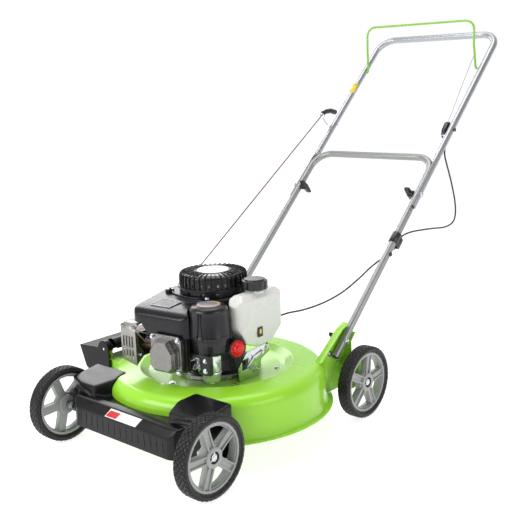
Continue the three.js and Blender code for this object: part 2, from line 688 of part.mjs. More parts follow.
// ---------------------------------------------------------------- exhaust
const EXHAUST = { x: -137.6, y: -191.7, turn: -5.2 };
const exhaust = new THREE.Group(); // local X runs along the guard's face, local Y points back
exhaust.position.set(EXHAUST.x, EXHAUST.y, 0);
exhaust.rotation.z = THREE.MathUtils.degToRad(EXHAUST.turn);
head.add(exhaust);

function makeMuffler() {
  const can = solid(prismZ(roundedOutline(-26, 5, 25, 84, 14), 232, 298));
  const port = solid(rodX(9, -115, -52.4, -160, 262));
  return join(can.rotate([0, 0, EXHAUST.turn]).translate([EXHAUST.x, EXHAUST.y, 0]), port);
}
piece(head, "muffler", makeMuffler(), DARK_STEEL);

function makeGuard() {
  const t = 1.6;
  const bend = 22;
  const half = 28;
  const bottom = 212;
  const profile = new THREE.Shape();
  profile.moveTo(0, bottom);
  profile.lineTo(0, 300);
  profile.absarc(bend, 300, bend, Math.PI, Math.PI / 2, true);
  profile.lineTo(44, 300 + bend);
  profile.lineTo(44, 300 + bend - t);
  profile.absarc(bend, 300, bend - t, Math.PI / 2, Math.PI, false);
  profile.lineTo(t, bottom);
  const skin = solid(prismX(profile, -half, half));
  const ear = solid(prismX(outline([[0, 282], [26, 246], [26, 234], [0, bottom]]), half - t, half));
  const left = -half - 5;
  const corner = outline([[left, bottom - 5], [half, bottom - 5], [half, bottom], [left, bottom + 12]]);
  const trim = solid(prismZ(corner, -10, 10).rotateX(Math.PI / 2));
  const slots = [];
  for (const z of [[226, 252], [259, 289]]) {
    for (let k = 0; k < 4; k += 1) slots.push(solid(block([k * 11 - 21, k * 11 - 15], [-5, 10], z)));
  }
  return cut(join(skin, ear), trim, ...slots);
}
piece(exhaust, "muffler_guard", makeGuard(), STAINLESS);

// ---------------------------------------------------------------- shroud, starter and flywheel
const SHROUD_TOP_Z = 384;
const SHROUD_BOTTOM_Z = 306;
const BOWL_RADIUS = 106;

// The cowl over the flywheel and cylinder; inset gives its hollow.
function shroudForm(inset) {
  const bottom = inset ? SHROUD_BOTTOM_Z - 20 : SHROUD_BOTTOM_Z;
  const plan = roundedOutline(-130 + inset, -190 + inset, 62 - inset, 20, 30 - inset);
  const top = SHROUD_TOP_Z - inset;
  const front = -190 + inset;
  const side = [[120, bottom], [120, top], [-52, top], [-150, top - 16], [-174, top - 24], [front, top - 44]];
  side.push([front, bottom]);
  const cowl = solid(prismZ(plan, bottom, 400)).intersect(solid(prismX(outline(side), -200, 200)));
  return join(cowl, solid(rod(BOWL_RADIUS - inset, bottom, top, 32)));
}

function makeShroud() {
  const badge = solid(block([-84, -16], [-158, -112], [362, 380]));
  const slope = solid(prismX(outline([[-160, 364], [-160, 369], [-100, 380], [-100, 364]]), -90, -10));
  const intake = solid(rod(80, 370, 400, 24));
  const overExhaust = [[-140, 290], [-140, 330], [-90, 330], [-66, 300], [-66, 290]];
  const notch = solid(prismZ(outline(overExhaust), 100, 200).rotateX(Math.PI / 2));
  const outside = join(shroudForm(0), badge.intersect(slope));
  return cut(outside, cut(shroudForm(3), filterRoom(4, 280)), filterRoom(1, 280), intake, notch);
}
piece(head, "engine_shroud", makeShroud(), BLACK_PLASTIC);

const RECOIL_TOP_Z = 442;
const VENT_COUNT = 12;
const ROPE_OUTLET = vector(-87, 10, 409);
const GUIDE_EYE = vector(-252, 797, 51); // in the handle's frame
const ROPE_RADIUS = 1.75;

// The rope leaves the pulley, turns in the housing's outlet and runs to the guide on the handle.
mower.updateMatrixWorld(true);
const ropePath = [vector(-50, -22, 405), ROPE_OUTLET, handle.localToWorld(GUIDE_EYE.clone())];

function makeRecoilHousing() {
  const r = RECOIL_RADIUS;
  const z = SHROUD_TOP_Z + GAP;
  const profile = [[r + 2, z], [r + 2, 400], [r + 7, 400], [r + 7, 405], [r, 406], [r, 434]];
  profile.push([r - 8, RECOIL_TOP_Z], [0, RECOIL_TOP_Z], [0, 394], [8, 394]);
  profile.push([8, RECOIL_TOP_Z - 3], [r - 9, RECOIL_TOP_Z - 3]);
  profile.push([r - 3, 433], [r - 1, z], [r + 2, z]);
  const shell = solid(turned(profile, 28));
  const slots = [];
  for (let k = 0; k < VENT_COUNT; k += 1) {
    const side = block([r - 9, r + 3], [-4, 4], [408, 422]);
    slots.push(solid(side.rotateZ(((k + 0.5) * 2 * Math.PI) / VENT_COUNT)));
  }
  const outlet = solid(block([-99, -80], [-14, 16], [403, 420]));
  const ropeRoom = solid(tube(ropePath, ROPE_RADIUS + 1.5, 8).translate(0, -ENGINE_Y, 0));
  return cut(join(shell, cut(outlet, solid(rod(r - 4, 400, 425, 28)))), ...slots, ropeRoom);
}
piece(engine, "recoil_housing", makeRecoilHousing(), BLACK_PLASTIC);

const PULLEY_RADIUS = 46;
function makePulley() {
  const r = PULLEY_RADIUS;
  const groove = [[r, 400], [r - 5, 403], [r - 5, 407], [r, 410]];
  const profile = [[8.6, 397], [r, 397], ...groove, [r, 413], [8.6, 413]];
  return turned([...profile, profile[0]], 20);
}
piece(engine, "starter_pulley", makePulley(), BLACK_PLASTIC);

function makeFlywheel() {
  const bore = CRANK_RADIUS + GAP;
  const profile = [[bore, 326], [30, 326], [34, 340], [74, 340], [74, 354], [bore, 354], [bore, 326]];
  const vanes = [];
  for (let k = 0; k < 10; k += 1) {
    const vane = block([44, 72], [-1.5, 1.5], [350, 372]).rotateZ((k * Math.PI) / 5);
    vanes.push(solid(vane));
  }
  return join(solid(turned(profile, 20)), ...vanes);
}
piece(engine, "flywheel", makeFlywheel(), CAST_ALLOY);

// ---------------------------------------------------------------- crankshaft and blade
const SHAFT_END_Z = 102;
const BLADE_BOLT_RADIUS = 5;
function makeCrankshaft() {
  const r = CRANK_RADIUS;
  const profile = [[0, SHAFT_END_Z], [r, SHAFT_END_Z], [r, 376], [9, 384], [0, 384]];
  const thread = rod(BLADE_BOLT_RADIUS + GAP, SHAFT_END_Z - 5, SHAFT_END_Z + 34, 12);
  return cut(solid(turned(profile, 20)), solid(thread));
}
piece(engine, "crankshaft", makeCrankshaft(), DARK_STEEL);

function makeAdapter() {
  const bore = CRANK_RADIUS + GAP;
  const z = SHAFT_END_Z;
  const profile = [[bore, z], [34, z], [34, z + 5], [20, z + 8], [20, z + 38], [bore, z + 38], [bore, z]];
  return turned(profile, 20);
}
piece(engine, "blade_adapter", makeAdapter(), CAST_ALLOY);

const BLADE_HALF_LENGTH = 272;
const BLADE_BOTTOM_Z = 98;
function makeBlade() {
  const z0 = BLADE_BOTTOM_Z;
  const z1 = SHAFT_END_Z - GAP;
  const end = BLADE_HALF_LENGTH;
  const flat = [[-27, 40 - end], [-20, -end], [27, -end], [27, end - 40], [20, end], [-27, end]];
  const sail = outline([[20, z0], [31, z0 + 13], [29, z0 + 15], [16, z1]]);
  const sails = [0, Math.PI].map((turn) => {
    const wing = prismZ(sail, end - 96, end - 6).rotateX(Math.PI / 2);
    return solid(wing.rotateZ(turn));
  });
  const hole = solid(rod(BLADE_BOLT_RADIUS + GAP, 80, 120, 12));
  return cut(join(solid(prismZ(outline(flat), z0, z1)), ...sails), hole);
}
piece(engine, "blade", makeBlade(), DARK_STEEL);

function makeBladeBolt() {
  const top = BLADE_BOTTOM_Z - GAP;
  const headShape = solid(prismZ(hexagon(11), top - 10, top - 2));
  const washer = solid(rod(17, top - 3, top, 16));
  return join(headShape, washer, solid(rod(BLADE_BOLT_RADIUS, top - 1, SHAFT_END_Z + 28, 12)));
}
piece(engine, "blade_bolt", makeBladeBolt(), ZINC);

// ---------------------------------------------------------------- fuel tank
function makeTank() {
  const { x0, x1, y0, y1, z0, z1 } = TANK;
  const plan = solid(prismZ(roundedOutline(x0, y0, x1, y1, 23), z0, z1));
  const side = [[y0, z0 + 62], [y0 + 30, z0 + 14], [y0 + 70, z0], [y1 - 44, z0], [y1 - 12, z0 + 36]];
  side.push([y1, z0 + 76], [y1, z1 - 22], [y1 - 18, z1], [y0 + 24, z1], [y0, z1 - 24]);
  const front = [[x0, z0], [x1 - 8, z0], [x1, z0 + 60], [x1, z1 - 14], [x1 - 14, z1]];
  front.push([x0 + 10, z1], [x0, z1 - 10]);
  const across = solid(prismX(outline(side), x0 - 5, x1 + 5));
  const along = solid(prismZ(outline(front), -y1 - 5, -y0 + 5).rotateX(Math.PI / 2));
  const neck = solid(rod(18, z1 - 6, CAP.z0 - GAP, 20).translate(CAP.x, CAP.y, 0));
  return join(plan.intersect(across).intersect(along), neck);
}
piece(mower, "fuel_tank", makeTank(), WHITE_PLASTIC);

function makeCap() {
  const radius = 34;
  const lobes = 12;
  const points = [];
  for (let k = 0; k < lobes * 2; k += 1) {
    const r = k % 2 ? radius : radius - 3;
    points.push([r * Math.cos((k * Math.PI) / lobes), r * Math.sin((k * Math.PI) / lobes)]);
  }
  const skirt = solid(prismZ(outline(points), CAP.z0, CAP.z1 - 4));
  return join(skirt, solid(rod(radius - 7, CAP.z1 - 6, CAP.z1, 20)));
}
piece(mower, "fuel_cap", makeCap(), BLACK_PLASTIC).position.set(CAP.x, CAP.y, 0);

// ---------------------------------------------------------------- air filter, carburettor and primer
const intake = new THREE.Group();
intake.position.set(INTAKE.x, INTAKE.y, 0);
head.add(intake);
const PRIMER = { x: 61, y: 31, z: 271.5, turn: THREE.MathUtils.degToRad(-19.5) };

// A shape turned about Z, laid over so that its Z runs along the primer's axis.
function alongPrimer(geometry) {
  return geometry.rotateY(Math.PI / 2).rotateZ(PRIMER.turn).translate(PRIMER.x, PRIMER.y, PRIMER.z);
}

function makeFilterBase() {
  const cup = [[0, 262], [42, 262], [46, 270], [49, 290], [49, 302.7], [46, 302.7], [46, 276], [0, 276]];
  const bracket = solid(block([-30, 30], [-46, -30], [216, 266]));
  const slot = solid(block([-6, 6], [-50, -38], [222, 258]));
  const primerCup = cut(solid(alongPrimer(rod(25, -18, 0, 20))), solid(rod(47, 276, 340, 24)));
  const primerRoom = solid(alongPrimer(rod(21.5, -12, 5, 20)));
  return cut(join(solid(turned(cup, 24)), bracket, primerCup), slot, primerRoom);
}
piece(intake, "air_filter_base", makeFilterBase(), BLACK_PLASTIC);
piece(intake, "air_filter_element", ring(42, 24, 277, 352, 20), WHITE_PLASTIC);

function makeFilterCover() {
  const r = FILTER_RADIUS;
  const z = FILTER_SEAM_Z;
  const profile = [[r, z], [r, z + 8], [r - 1.5, z + 9], [r - 4, 366], [r - 8, 378], [r - 18, 385], [0, 387]];
  profile.push([0, 384], [r - 19, 382], [r - 11, 376], [r - 7, 364], [r - 3, z], [r, z]);
  return turned(profile, 28);
}
piece(intake, "air_filter_cover", makeFilterCover(), BLACK_PLASTIC);

function makePrimerBulb() {
  const profile = [[0, -3], [21, -3], [21, 3], [17, 9], [10, 12.5], [0, 14]];
  return alongPrimer(turned(profile, 20));
}
piece(intake, "primer_bulb", makePrimerBulb(), RED_RUBBER);

function makeCarburettor() {
  const body = solid(block([-24, 20], [-24, 14], [214, 261.7]));
  const flange = solid(block([-33.6, -22], [-26, 20], [222, 257.5]));
  const foot = solid(rod(21, 212.6, 216, 20));
  return join(body, flange, foot);
}
piece(intake, "carburettor", makeCarburettor(), ZINC);

function makeFloatBowl() {
  const profile = [[0, 177], [6, 177], [6, 182], [15, 185], [23, 193], [24, 208]];
  profile.push([26, 208], [26, 212.3], [0, 212.3]);
  return turned(profile, 20);
}
piece(intake, "float_bowl", makeFloatBowl(), ZINC);

// ---------------------------------------------------------------- blade brake
const BRAKE = { x: 137.5, y: 2, z: 222 };
const CABLE_END = { x: 130, y: 54, z: 236 };
function makeBrakeBracket() {
  const t = SHEET;
  const { x } = BRAKE;
  const foot = DISH_Z + GAP;
  const plate = outline([
    [-54, foot], [-58, 210], [-24, 246], [44, 250], [62, 244], [62, 228], [30, 214], [20, foot],
  ]);
  const upright = solid(prismX(plate, x, x + t));
  const flange = solid(block([x - 13, x + 1], [-50, 16], [foot, foot + t]));
  const { y, z } = CABLE_END;
  const stop = solid(block([x - 14, x + 1], [y - 3, y], [z - 7, z + 7]));
  const window = solid(block([x - 5, x + 10], [-44, -20], [200, 228]));
  const pivotHole = solid(rodX(3 + GAP, x - 5, x + 10, BRAKE.y, BRAKE.z, 12));
  return cut(join(upright, flange, stop), window, pivotHole);
}
piece(mower, "brake_bracket", makeBrakeBracket(), ZINC);

// The lever turns about its own origin; its pin passes through the bracket.
function makeBrakeLever() {
  const arm = outline([[-30, -14], [-26, -20], [6, -7], [30, 8], [28, 16], [-2, 8]]);
  const x = SHEET + GAP;
  const plate = solid(prismX(arm, x, x + 3));
  return join(plate, solid(rodX(3, -3, x + 6, 0, 0, 12)));
}
piece(mower, "brake_lever", makeBrakeLever(), ZINC).position.set(BRAKE.x, BRAKE.y, BRAKE.z);

// ---------------------------------------------------------------- starter rope
function makeRopeGuide() {
  const wire = 2.5;
  const loop = [];
  for (let k = 0; k <= 10; k += 1) {
    const a = Math.PI * (-0.5 + (k * 1.75) / 10);
    loop.push(vector(GUIDE_EYE.x + 8.5 * Math.cos(a), GUIDE_EYE.y, GUIDE_EYE.z + 8.5 * Math.sin(a)));
  }
  const stem = [vector(-212, GUIDE_S, 0), vector(-250, GUIDE_S, 0), vector(-258, GUIDE_EYE.y + 1, 6)];
  return tube([...stem, vector(-256, GUIDE_EYE.y, 36), ...loop], wire, 6);
}
piece(handle, "rope_guide", makeRopeGuide(), ZINC);

function makeStarterGrip() {
  const spine = [vector(-256, 806, 51), vector(-236, 809, 57), vector(-216, 809, 60), vector(-194, 804, 57)];
  return solid(tube(spine, 8.5, 10)).trimByPlane([0, 1, 0], GUIDE_EYE.y + 3);
}
piece(handle, "starter_grip", makeStarterGrip(), BLACK_PLASTIC);

mower.updateMatrixWorld(true);
piece(mower, "starter_rope", tube(ropePath, ROPE_RADIUS, 8), ROPE_FIBRE);

// ---------------------------------------------------------------- brake cable
const CABLE_IN_HANDLE = [
  [212.5, 757, 4], [221, 742, -18], [236, 699, -24], [242, 667, -98], [242, 641, -165], [240, 616, -205],
  [239, 588, -213], [238, 548, -187], [237, 491, -123], [232, 433, -62], [228, 400, -34], [226, 376, -23],
  [225.8, 338, -21],
];
const CABLE_IN_WORLD = [
  [200, 454, 389], [196, 394, 364], [190, 321, 338], [178, 251, 322], [158, 190, 313], [132, 150, 308],
  [106, 130, 294], [98, 112, 266], [112, 84, 245], [CABLE_END.x, 66, CABLE_END.z + 1],
  [CABLE_END.x, CABLE_END.y + 1.6, CABLE_END.z],
];
const upper = CABLE_IN_HANDLE.map((p) => handle.localToWorld(vector(...p)).toArray());
piece(mower, "brake_cable", cord([...upper, ...CABLE_IN_WORLD], 2.6, 54, 8), BLACK_PLASTIC);

// The origin is on the ground under the middle of the machine.
mower.updateMatrixWorld(true);
const middle = new THREE.Box3().setFromObject(mower, true).getCenter(new THREE.Vector3());
mower.position.set(-middle.x, -middle.y, 0);

export default mower;
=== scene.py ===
from math import atan2, ceil, copysign, cos, pi, radians, sin, tan

import bmesh
import bpy
from mathutils import Matrix, Vector


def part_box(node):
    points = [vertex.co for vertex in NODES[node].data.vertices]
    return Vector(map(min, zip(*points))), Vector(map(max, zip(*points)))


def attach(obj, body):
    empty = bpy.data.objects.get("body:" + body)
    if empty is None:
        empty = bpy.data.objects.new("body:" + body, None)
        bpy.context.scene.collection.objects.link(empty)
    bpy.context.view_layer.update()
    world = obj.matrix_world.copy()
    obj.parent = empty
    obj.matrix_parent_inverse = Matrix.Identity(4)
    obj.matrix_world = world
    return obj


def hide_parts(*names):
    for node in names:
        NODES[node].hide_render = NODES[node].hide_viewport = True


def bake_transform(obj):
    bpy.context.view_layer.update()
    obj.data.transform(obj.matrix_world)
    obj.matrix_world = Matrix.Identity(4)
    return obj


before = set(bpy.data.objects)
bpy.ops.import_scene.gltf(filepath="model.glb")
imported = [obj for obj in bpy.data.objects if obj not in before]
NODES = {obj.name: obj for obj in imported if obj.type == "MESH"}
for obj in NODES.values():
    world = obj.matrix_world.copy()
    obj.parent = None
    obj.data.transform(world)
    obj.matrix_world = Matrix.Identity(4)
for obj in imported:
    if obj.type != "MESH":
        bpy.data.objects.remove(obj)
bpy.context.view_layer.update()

SCENE = bpy.context.scene

# Lengths are written in millimetres in the design frame, whose origin is under the deck's middle.
_low, _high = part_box("crankshaft")
SHIFT = Vector(((_low[0] + _high[0]) / 2, (_low[1] + _high[1]) / 2 - 0.006, 0.0))
HANDLE_ANGLE = radians(43.18)
HANDLE_PIVOT = Vector((0.0, 275.2, 215.8))
ENGINE_Y = 6.0
HEAD_ANGLE = radians(6.5)
SIDES = (("left", 1), ("right", -1))
FORWARD = (0, -1, 0)
OUTWARD = (1, 0, 0)
TAU = 2 * pi
MERGE = 1e-6


def mm(x, y, z):
    return Vector((x, y, z)) / 1000 + SHIFT


def slide(x, y, z):
    return Matrix.Translation((x, y, z))


def rotate(angle, axis="Z"):
    return Matrix.Rotation(angle, 4, axis)


PLACE = Matrix.Translation(SHIFT) @ Matrix.Scale(0.001, 4)
HANDLE_TURN = Matrix.Translation(HANDLE_PIVOT) @ rotate(HANDLE_ANGLE, "X")
HANDLE = PLACE @ HANDLE_TURN
ENGINE = PLACE @ slide(0, ENGINE_Y, 0)
HEAD = ENGINE @ rotate(HEAD_ANGLE)
INTAKE = HEAD @ slide(84, -128.3, 0)


def placed(name, data):
    """A new object in the scene."""
    thing = bpy.data.objects.new(name, data)
    SCENE.collection.objects.link(thing)
    return thing


# ---- camera
CAMERA_SPOT = (1571.2, -1561.0, 931.8)
YAW, PITCH, ROLL = radians(41.83), radians(11.99), radians(-1.97)
SENSOR = 36
LENS = 59.404154


def make_camera():
    back = Vector((sin(YAW) * cos(PITCH), -cos(YAW) * cos(PITCH), sin(PITCH)))
    right = (-back).cross(Vector((0, 0, 1))).normalized()
    up = right.cross(-back)
    across = right * cos(ROLL) + up * sin(ROLL)
    upward = up * cos(ROLL) - right * sin(ROLL)
    camera = placed("camera", bpy.data.cameras.new("camera"))
    camera.data.lens = LENS
    camera.data.sensor_width = SENSOR
    camera.data.clip_end = 50
    place = mm(*CAMERA_SPOT)
    rows = [[across[i], upward[i], back[i], place[i]] for i in range(3)] + [[0, 0, 0, 1]]
    camera.matrix_world = Matrix(rows)
    SCENE.camera = camera


# ---- materials
NOISE_SPAN = (0.3, 0.7)
EDGE_SPAN = (0.515, 0.56)


def remapped(tree, value, span, low, high):
    """A value stretched from a span to low..high and clamped there."""
    node = tree.nodes.new("ShaderNodeMapRange")
    for socket, limit in (("From Min", span[0]), ("From Max", span[1]), ("To Min", low), ("To Max", high)):
        node.inputs[socket].default_value = limit
    tree.links.new(value, node.inputs["Value"])
    return node.outputs["Result"]


def material(name, color, rough, metal=0.0, tint=0.12, tint_scale=40, grain=0.0, grain_scale=2500,
             rough_span=0.08, edge_wear_and_sheen=None, streak=None, **sockets):
    """A shader with mottled colour, uneven gloss and a fine surface grain."""
    made = bpy.data.materials.new(name)
    made.use_nodes = True
    tree = made.node_tree
    shader = tree.nodes["Principled BSDF"]
    link = tree.links.new
    coords = tree.nodes.new("ShaderNodeTexCoord").outputs["Object"]

    def noise(scale, detail=4.0, source=coords):
        node = tree.nodes.new("ShaderNodeTexNoise")
        node.inputs["Scale"].default_value = scale
        node.inputs["Detail"].default_value = detail
        link(source, node.inputs["Vector"])
        return node.outputs["Fac"]

    def mix(factor, first, second):
        node = tree.nodes.new("ShaderNodeMix")
        node.data_type = "RGBA"
        link(factor, node.inputs["Factor"])
        for socket, value in ((node.inputs["A"], first), (node.inputs["B"], second)):
            if hasattr(value, "is_linked"):
                link(value, socket)
            else:
                socket.default_value = (*value, 1)
        return node.outputs["Result"]

    source = coords
    if streak:
        stretch = tree.nodes.new("ShaderNodeMapping")
        stretch.inputs["Scale"].default_value = streak
        link(coords, stretch.inputs["Vector"])
        source = stretch.outputs["Vector"]
    dark = [c * (1 - tint) for c in color]
    light = [min(1, c * (1 + tint)) for c in color]
    base = mix(remapped(tree, noise(tint_scale, source=source), NOISE_SPAN, 0, 1), dark, light)
    # Convex edges take a second colour. It is worn paint on the blade and scuffs on the rim and knobs, but a
    # painted highlight on the lime paint and on the tyre's tread ridges.
    if edge_wear_and_sheen:
        edge = tree.nodes.new("ShaderNodeNewGeometry").outputs["Pointiness"]
        edge_wear_and_sheen_mask = tree.nodes.new("ShaderNodeMath")
        edge_wear_and_sheen_mask.operation = "MULTIPLY"
        link(remapped(tree, edge, EDGE_SPAN, 0, 1), edge_wear_and_sheen_mask.inputs[0])
        link(remapped(tree, noise(160), NOISE_SPAN, 0, 1), edge_wear_and_sheen_mask.inputs[1])
        base = mix(edge_wear_and_sheen_mask.outputs["Value"], base, edge_wear_and_sheen)
    link(base, shader.inputs["Base Color"])
    low, high = max(0.02, rough - rough_span), min(1, rough + rough_span)
    gloss = remapped(tree, noise(tint_scale * 2.3, source=source), NOISE_SPAN, low, high)
    link(gloss, shader.inputs["Roughness"])
    shader.inputs["Metallic"].default_value = metal
    if grain:
        bump = tree.nodes.new("ShaderNodeBump")
        bump.inputs["Strength"].default_value = grain
        bump.inputs["Distance"].default_value = 0.0004
        link(noise(grain_scale, 2.0, source), bump.inputs["Height"])
        link(bump.outputs["Normal"], shader.inputs["Normal"])
    for socket, value in sockets.items():
        shader.inputs[socket.replace("_", " ")].default_value = value
    return made


# Its lighter lime on convex edges is a painted highlight.
LIME = material("lime_paint", (0.30, 0.66, 0.028), 0.3, tint=0.03, tint_scale=9, grain=0.015,
                grain_scale=260, rough_span=0.03, edge_wear_and_sheen=(0.42, 0.78, 0.12), Specular_IOR_Level=0.36,
                Coat_Weight=0.3, Coat_Roughness=0.08)
BAIL_PAINT = material("bail_paint", (0.17, 0.44, 0.02), 0.32, tint=0.05, tint_scale=20, grain=0.015,
                      grain_scale=900, rough_span=0.03, Coat_Weight=0.3, Coat_Roughness=0.14)
BUMPER = material("bumper_plastic", (0.005, 0.005, 0.006), 0.3, rough_span=0.03, tint_scale=14, grain=0.04,
                  grain_scale=1800, Specular_IOR_Level=0.26)
RIM = material("rim_plastic", (0.32, 0.335, 0.322), 0.34, tint=0.05, grain=0.05, grain_scale=900,
               edge_wear_and_sheen=(0.34, 0.35, 0.33))
# Its lighter colour on the tread ridges is a painted highlight.
TYRE = material("tyre_rubber", (0.009, 0.009, 0.010), 0.42, grain=0.15, grain_scale=900,
                edge_wear_and_sheen=(0.10, 0.095, 0.09), Specular_IOR_Level=0.26)
FLAP = material("flap_plastic", (0.005, 0.004, 0.0055), 0.24, rough_span=0.03, tint_scale=14, grain=0.03,
                grain_scale=2200, Specular_IOR_Level=0.18)
LOWER_TUBE = material("lower_tube_paint", (0.28, 0.29, 0.28), 0.33, 0.45, tint=0.02, grain=0.01,
                      grain_scale=1500, rough_span=0.03, Coat_Weight=0.3)
UPPER_TUBE = material("upper_tube_paint", (0.38, 0.39, 0.415), 0.3, 0.6, tint=0.02, grain=0.01,
                      grain_scale=1500, rough_span=0.03, Coat_Weight=0.3)
ZINC = material("zinc_plate", (0.60, 0.62, 0.66), 0.2, 1.0, tint=0.12, tint_scale=160, grain=0.05,
                grain_scale=700)
BRIGHT = material("bright_zinc", (0.78, 0.80, 0.85), 0.26, 0.85, tint=0.06, tint_scale=120, grain=0.03,
                  grain_scale=900)
KNOB = material("knob_plastic", (0.007, 0.007, 0.008), 0.3, grain=0.06, grain_scale=900,
                edge_wear_and_sheen=(0.03, 0.03, 0.03))
CABLE = material("cable_sheath", (0.034, 0.016, 0.019), 0.42, grain=0.1, grain_scale=700)
WIRE = material("inner_wire", (0.30, 0.28, 0.27), 0.4, 0.9, grain=0.2, grain_scale=3000)
CAST = material("cast_alloy", (0.30, 0.295, 0.285), 0.42, 0.9, tint=0.2, tint_scale=70, grain=0.4,
                grain_scale=800)
CASE = material("case_alloy", (0.05, 0.05, 0.05), 0.45, 0.7, tint=0.3, tint_scale=60, grain=0.4,
                grain_scale=800)
COVER = material("cover_alloy", (0.23, 0.225, 0.217), 0.3, 0.9, tint=0.06, tint_scale=60, grain=0.08,
                 grain_scale=2000)
FLANGE = material("flange_alloy", (0.42, 0.42, 0.41), 0.3, 0.95, tint=0.15, tint_scale=60, grain=0.15,
                  grain_scale=500)
STEEL = material("shaft_steel", (0.36, 0.35, 0.33), 0.38, 1.0, tint=0.2, grain=0.1, grain_scale=700)
BLADE = material("blade_paint", (0.012, 0.012, 0.014), 0.42, 0.3, edge_wear_and_sheen=(0.4, 0.39, 0.37), grain=0.2,
                 grain_scale=700)
STAINLESS = material("guard_steel", (0.36, 0.35, 0.335), 0.42, 0.9, tint=0.06, tint_scale=50, grain=0.1,
                     grain_scale=500, streak=(1, 1, 14))
MUFFLER = material("muffler_steel", (0.085, 0.055, 0.035), 0.4, 0.9, tint=0.5, tint_scale=35, grain=0.25,
                   grain_scale=700)
SHROUD = material("engine_plastic", (0.0065, 0.0062, 0.0085), 0.26, tint_scale=15, rough_span=0.03,
                  grain=0.03, grain_scale=2200, Specular_IOR_Level=0.32)
FILTER = material("filter_plastic", (0.009, 0.009, 0.0115), 0.3, rough_span=0.03, tint_scale=18, grain=0.03,
                  grain_scale=2200, Specular_IOR_Level=0.42)
FOAM = material("filter_foam", (0.55, 0.52, 0.45), 0.9, grain=0.9, grain_scale=900)
CERAMIC = material("plug_ceramic", (0.84, 0.84, 0.80), 0.18, grain=0.02, grain_scale=500)
TANK = material("tank_plastic", (0.68, 0.69, 0.66), 0.3, tint=0.01, tint_scale=5, grain=0.02,
                grain_scale=1500, Subsurface_Weight=0.35, Subsurface_Scale=0.02)
BULB = material("bulb_rubber", (0.68, 0.008, 0.01), 0.28, tint=0.06, grain=0.03, grain_scale=500)
ROPE = material("rope_fibre", (0.13, 0.05, 0.055), 0.75, tint=0.45, tint_scale=900, grain=0.6,
                grain_scale=2500)
BADGE = material("badge_silver", (0.62, 0.62, 0.66), 0.3, 0.45, tint=0.04, streak=(20, 1, 1))
FRAME_LINE = material("badge_line", (0.30, 0.31, 0.34), 0.3, 0.4, tint=0.04)
LID_DISC = material("lid_disc", (0.30, 0.29, 0.36), 0.34, 0.3, tint=0.05)
YELLOW = material("label_yellow", (0.80, 0.50, 0.02), 0.4, tint=0.05)
WHITE = material("label_white", (0.80, 0.80, 0.78), 0.35, tint=0.03)
RED = material("label_red", (0.55, 0.02, 0.02), 0.35, tint=0.05)
# Black print for labels, also used as painted shade in the wheel hubs' recesses.
BLACK_PRINT_AND_SHADE = material("black_print_and_shade", (0.006, 0.006, 0.006), 0.35)

# Slot names for looks whose slot differs from their own name; dress looks a slot up but does not keep it. A
# look's name may have gained a number, because the frame's materials share some of these names.
SLOTS = {
    "bail_paint": "lime_paint",
    "lower_tube_paint": "lower_handle_paint",
    "upper_tube_paint": "upper_handle_paint",
    "zinc_plate": "zinc_hardware",
    "bright_zinc": "zinc_hardware",
    "cable_sheath": "cable_black",
    "case_alloy": "cast_alloy",
    "cover_alloy": "cast_alloy",
    "flange_alloy": "cast_alloy",
    "guard_steel": "guard_stainless",
    "badge_silver": "engine_plastic",
    "badge_line": "engine_plastic",
    "lid_disc": "filter_plastic",
    "label_white": "bumper_plastic",
    "label_red": "bumper_plastic",
}


# ---- shapes: closed forms as points and faces
def turned(profile, segments=96, shape=None):
    """A profile of (radius, z) turned about Z, without the empty faces on the axis; shape bends a point."""
    verts, faces = [], []
    rows = len(profile)
    for i in range(segments):
        a = TAU * i / segments
        for r, z in profile:
            if shape:
                r, z = shape(r, z, a)
            verts.append((r * cos(a), r * sin(a), z))
    for i in range(segments):
        j = (i + 1) % segments
        for k in range(rows - 1):
            face = (i * rows + k, j * rows + k, j * rows + k + 1, i * rows + k + 1)
            if len({tuple(round(c, 5) for c in verts[n]) for n in face}) > 2:
                faces.append(face)
    return verts, faces


def arc_points(cx, cy, r, a0, a1, steps):
    angles = [radians(a0 + (a1 - a0) * k / steps) for k in range(steps + 1)]
    return [(cx + r * cos(a), cy + r * sin(a)) for a in angles]


def bead(radius, z, thick, high=None, steps=10):
    """The closed round profile of a ring."""
    high = high or thick
    angles = [TAU * k / steps for k in range(steps + 1)]
    return [(radius + thick * cos(a), z + high * sin(a)) for a in angles]


def rounded_route(corners, radii, steps=12):
    """Corner points joined by straight lines, each inner corner rounded by an arc; radii is one or a list."""
    corners = [Vector(c) for c in corners]
    points = [corners[0]]
    for i, (before, corner, after) in enumerate(zip(corners, corners[1:], corners[2:])):
        radius = radii[i] if isinstance(radii, list) else radii
        back, ahead = (before - corner).normalized(), (after - corner).normalized()
        half = back.angle(ahead) / 2
        start = corner + back * (radius / tan(half))
        centre = corner + (back + ahead).normalized() * (radius / sin(half))
        axis = back.cross(ahead).normalized()
        for k in range(steps + 1):
            turn = Matrix.Rotation(-(pi - 2 * half) * k / steps, 3, axis)
            points.append(turn @ (start - centre) + centre)
    return points + [corners[-1]]


def filleted(points, radii):
    """A flat profile with an arc at each inner corner."""
    return [(p.x, p.y) for p in rounded_route([(*p, 0) for p in points], radii, 6)]


def smooth_route(points, steps):
    """A Catmull-Rom line through the points."""
    p = [Vector(q) for q in points]
    p = [2 * p[0] - p[1], *p, 2 * p[-1] - p[-2]]
    line = []
    for a, b, c, d in zip(p, p[1:], p[2:], p[3:]):
        for k in range(steps):
            t = k / steps
            line.append(0.5 * (2 * b + (c - a) * t + (2 * a - 5 * b + 4 * c - d) * t * t
                               + (3 * b - a - 3 * c + d) * t ** 3))
    return line + [p[-2]]


def with_steps(route, longest=6):
    """A route with its long stretches divided."""
    line = [route[0]]
    for a, b in zip(route, route[1:]):
        count = max(1, ceil((b - a).length / longest))
        line += [a.lerp(b, (k + 1) / count) for k in range(count)]
    return line


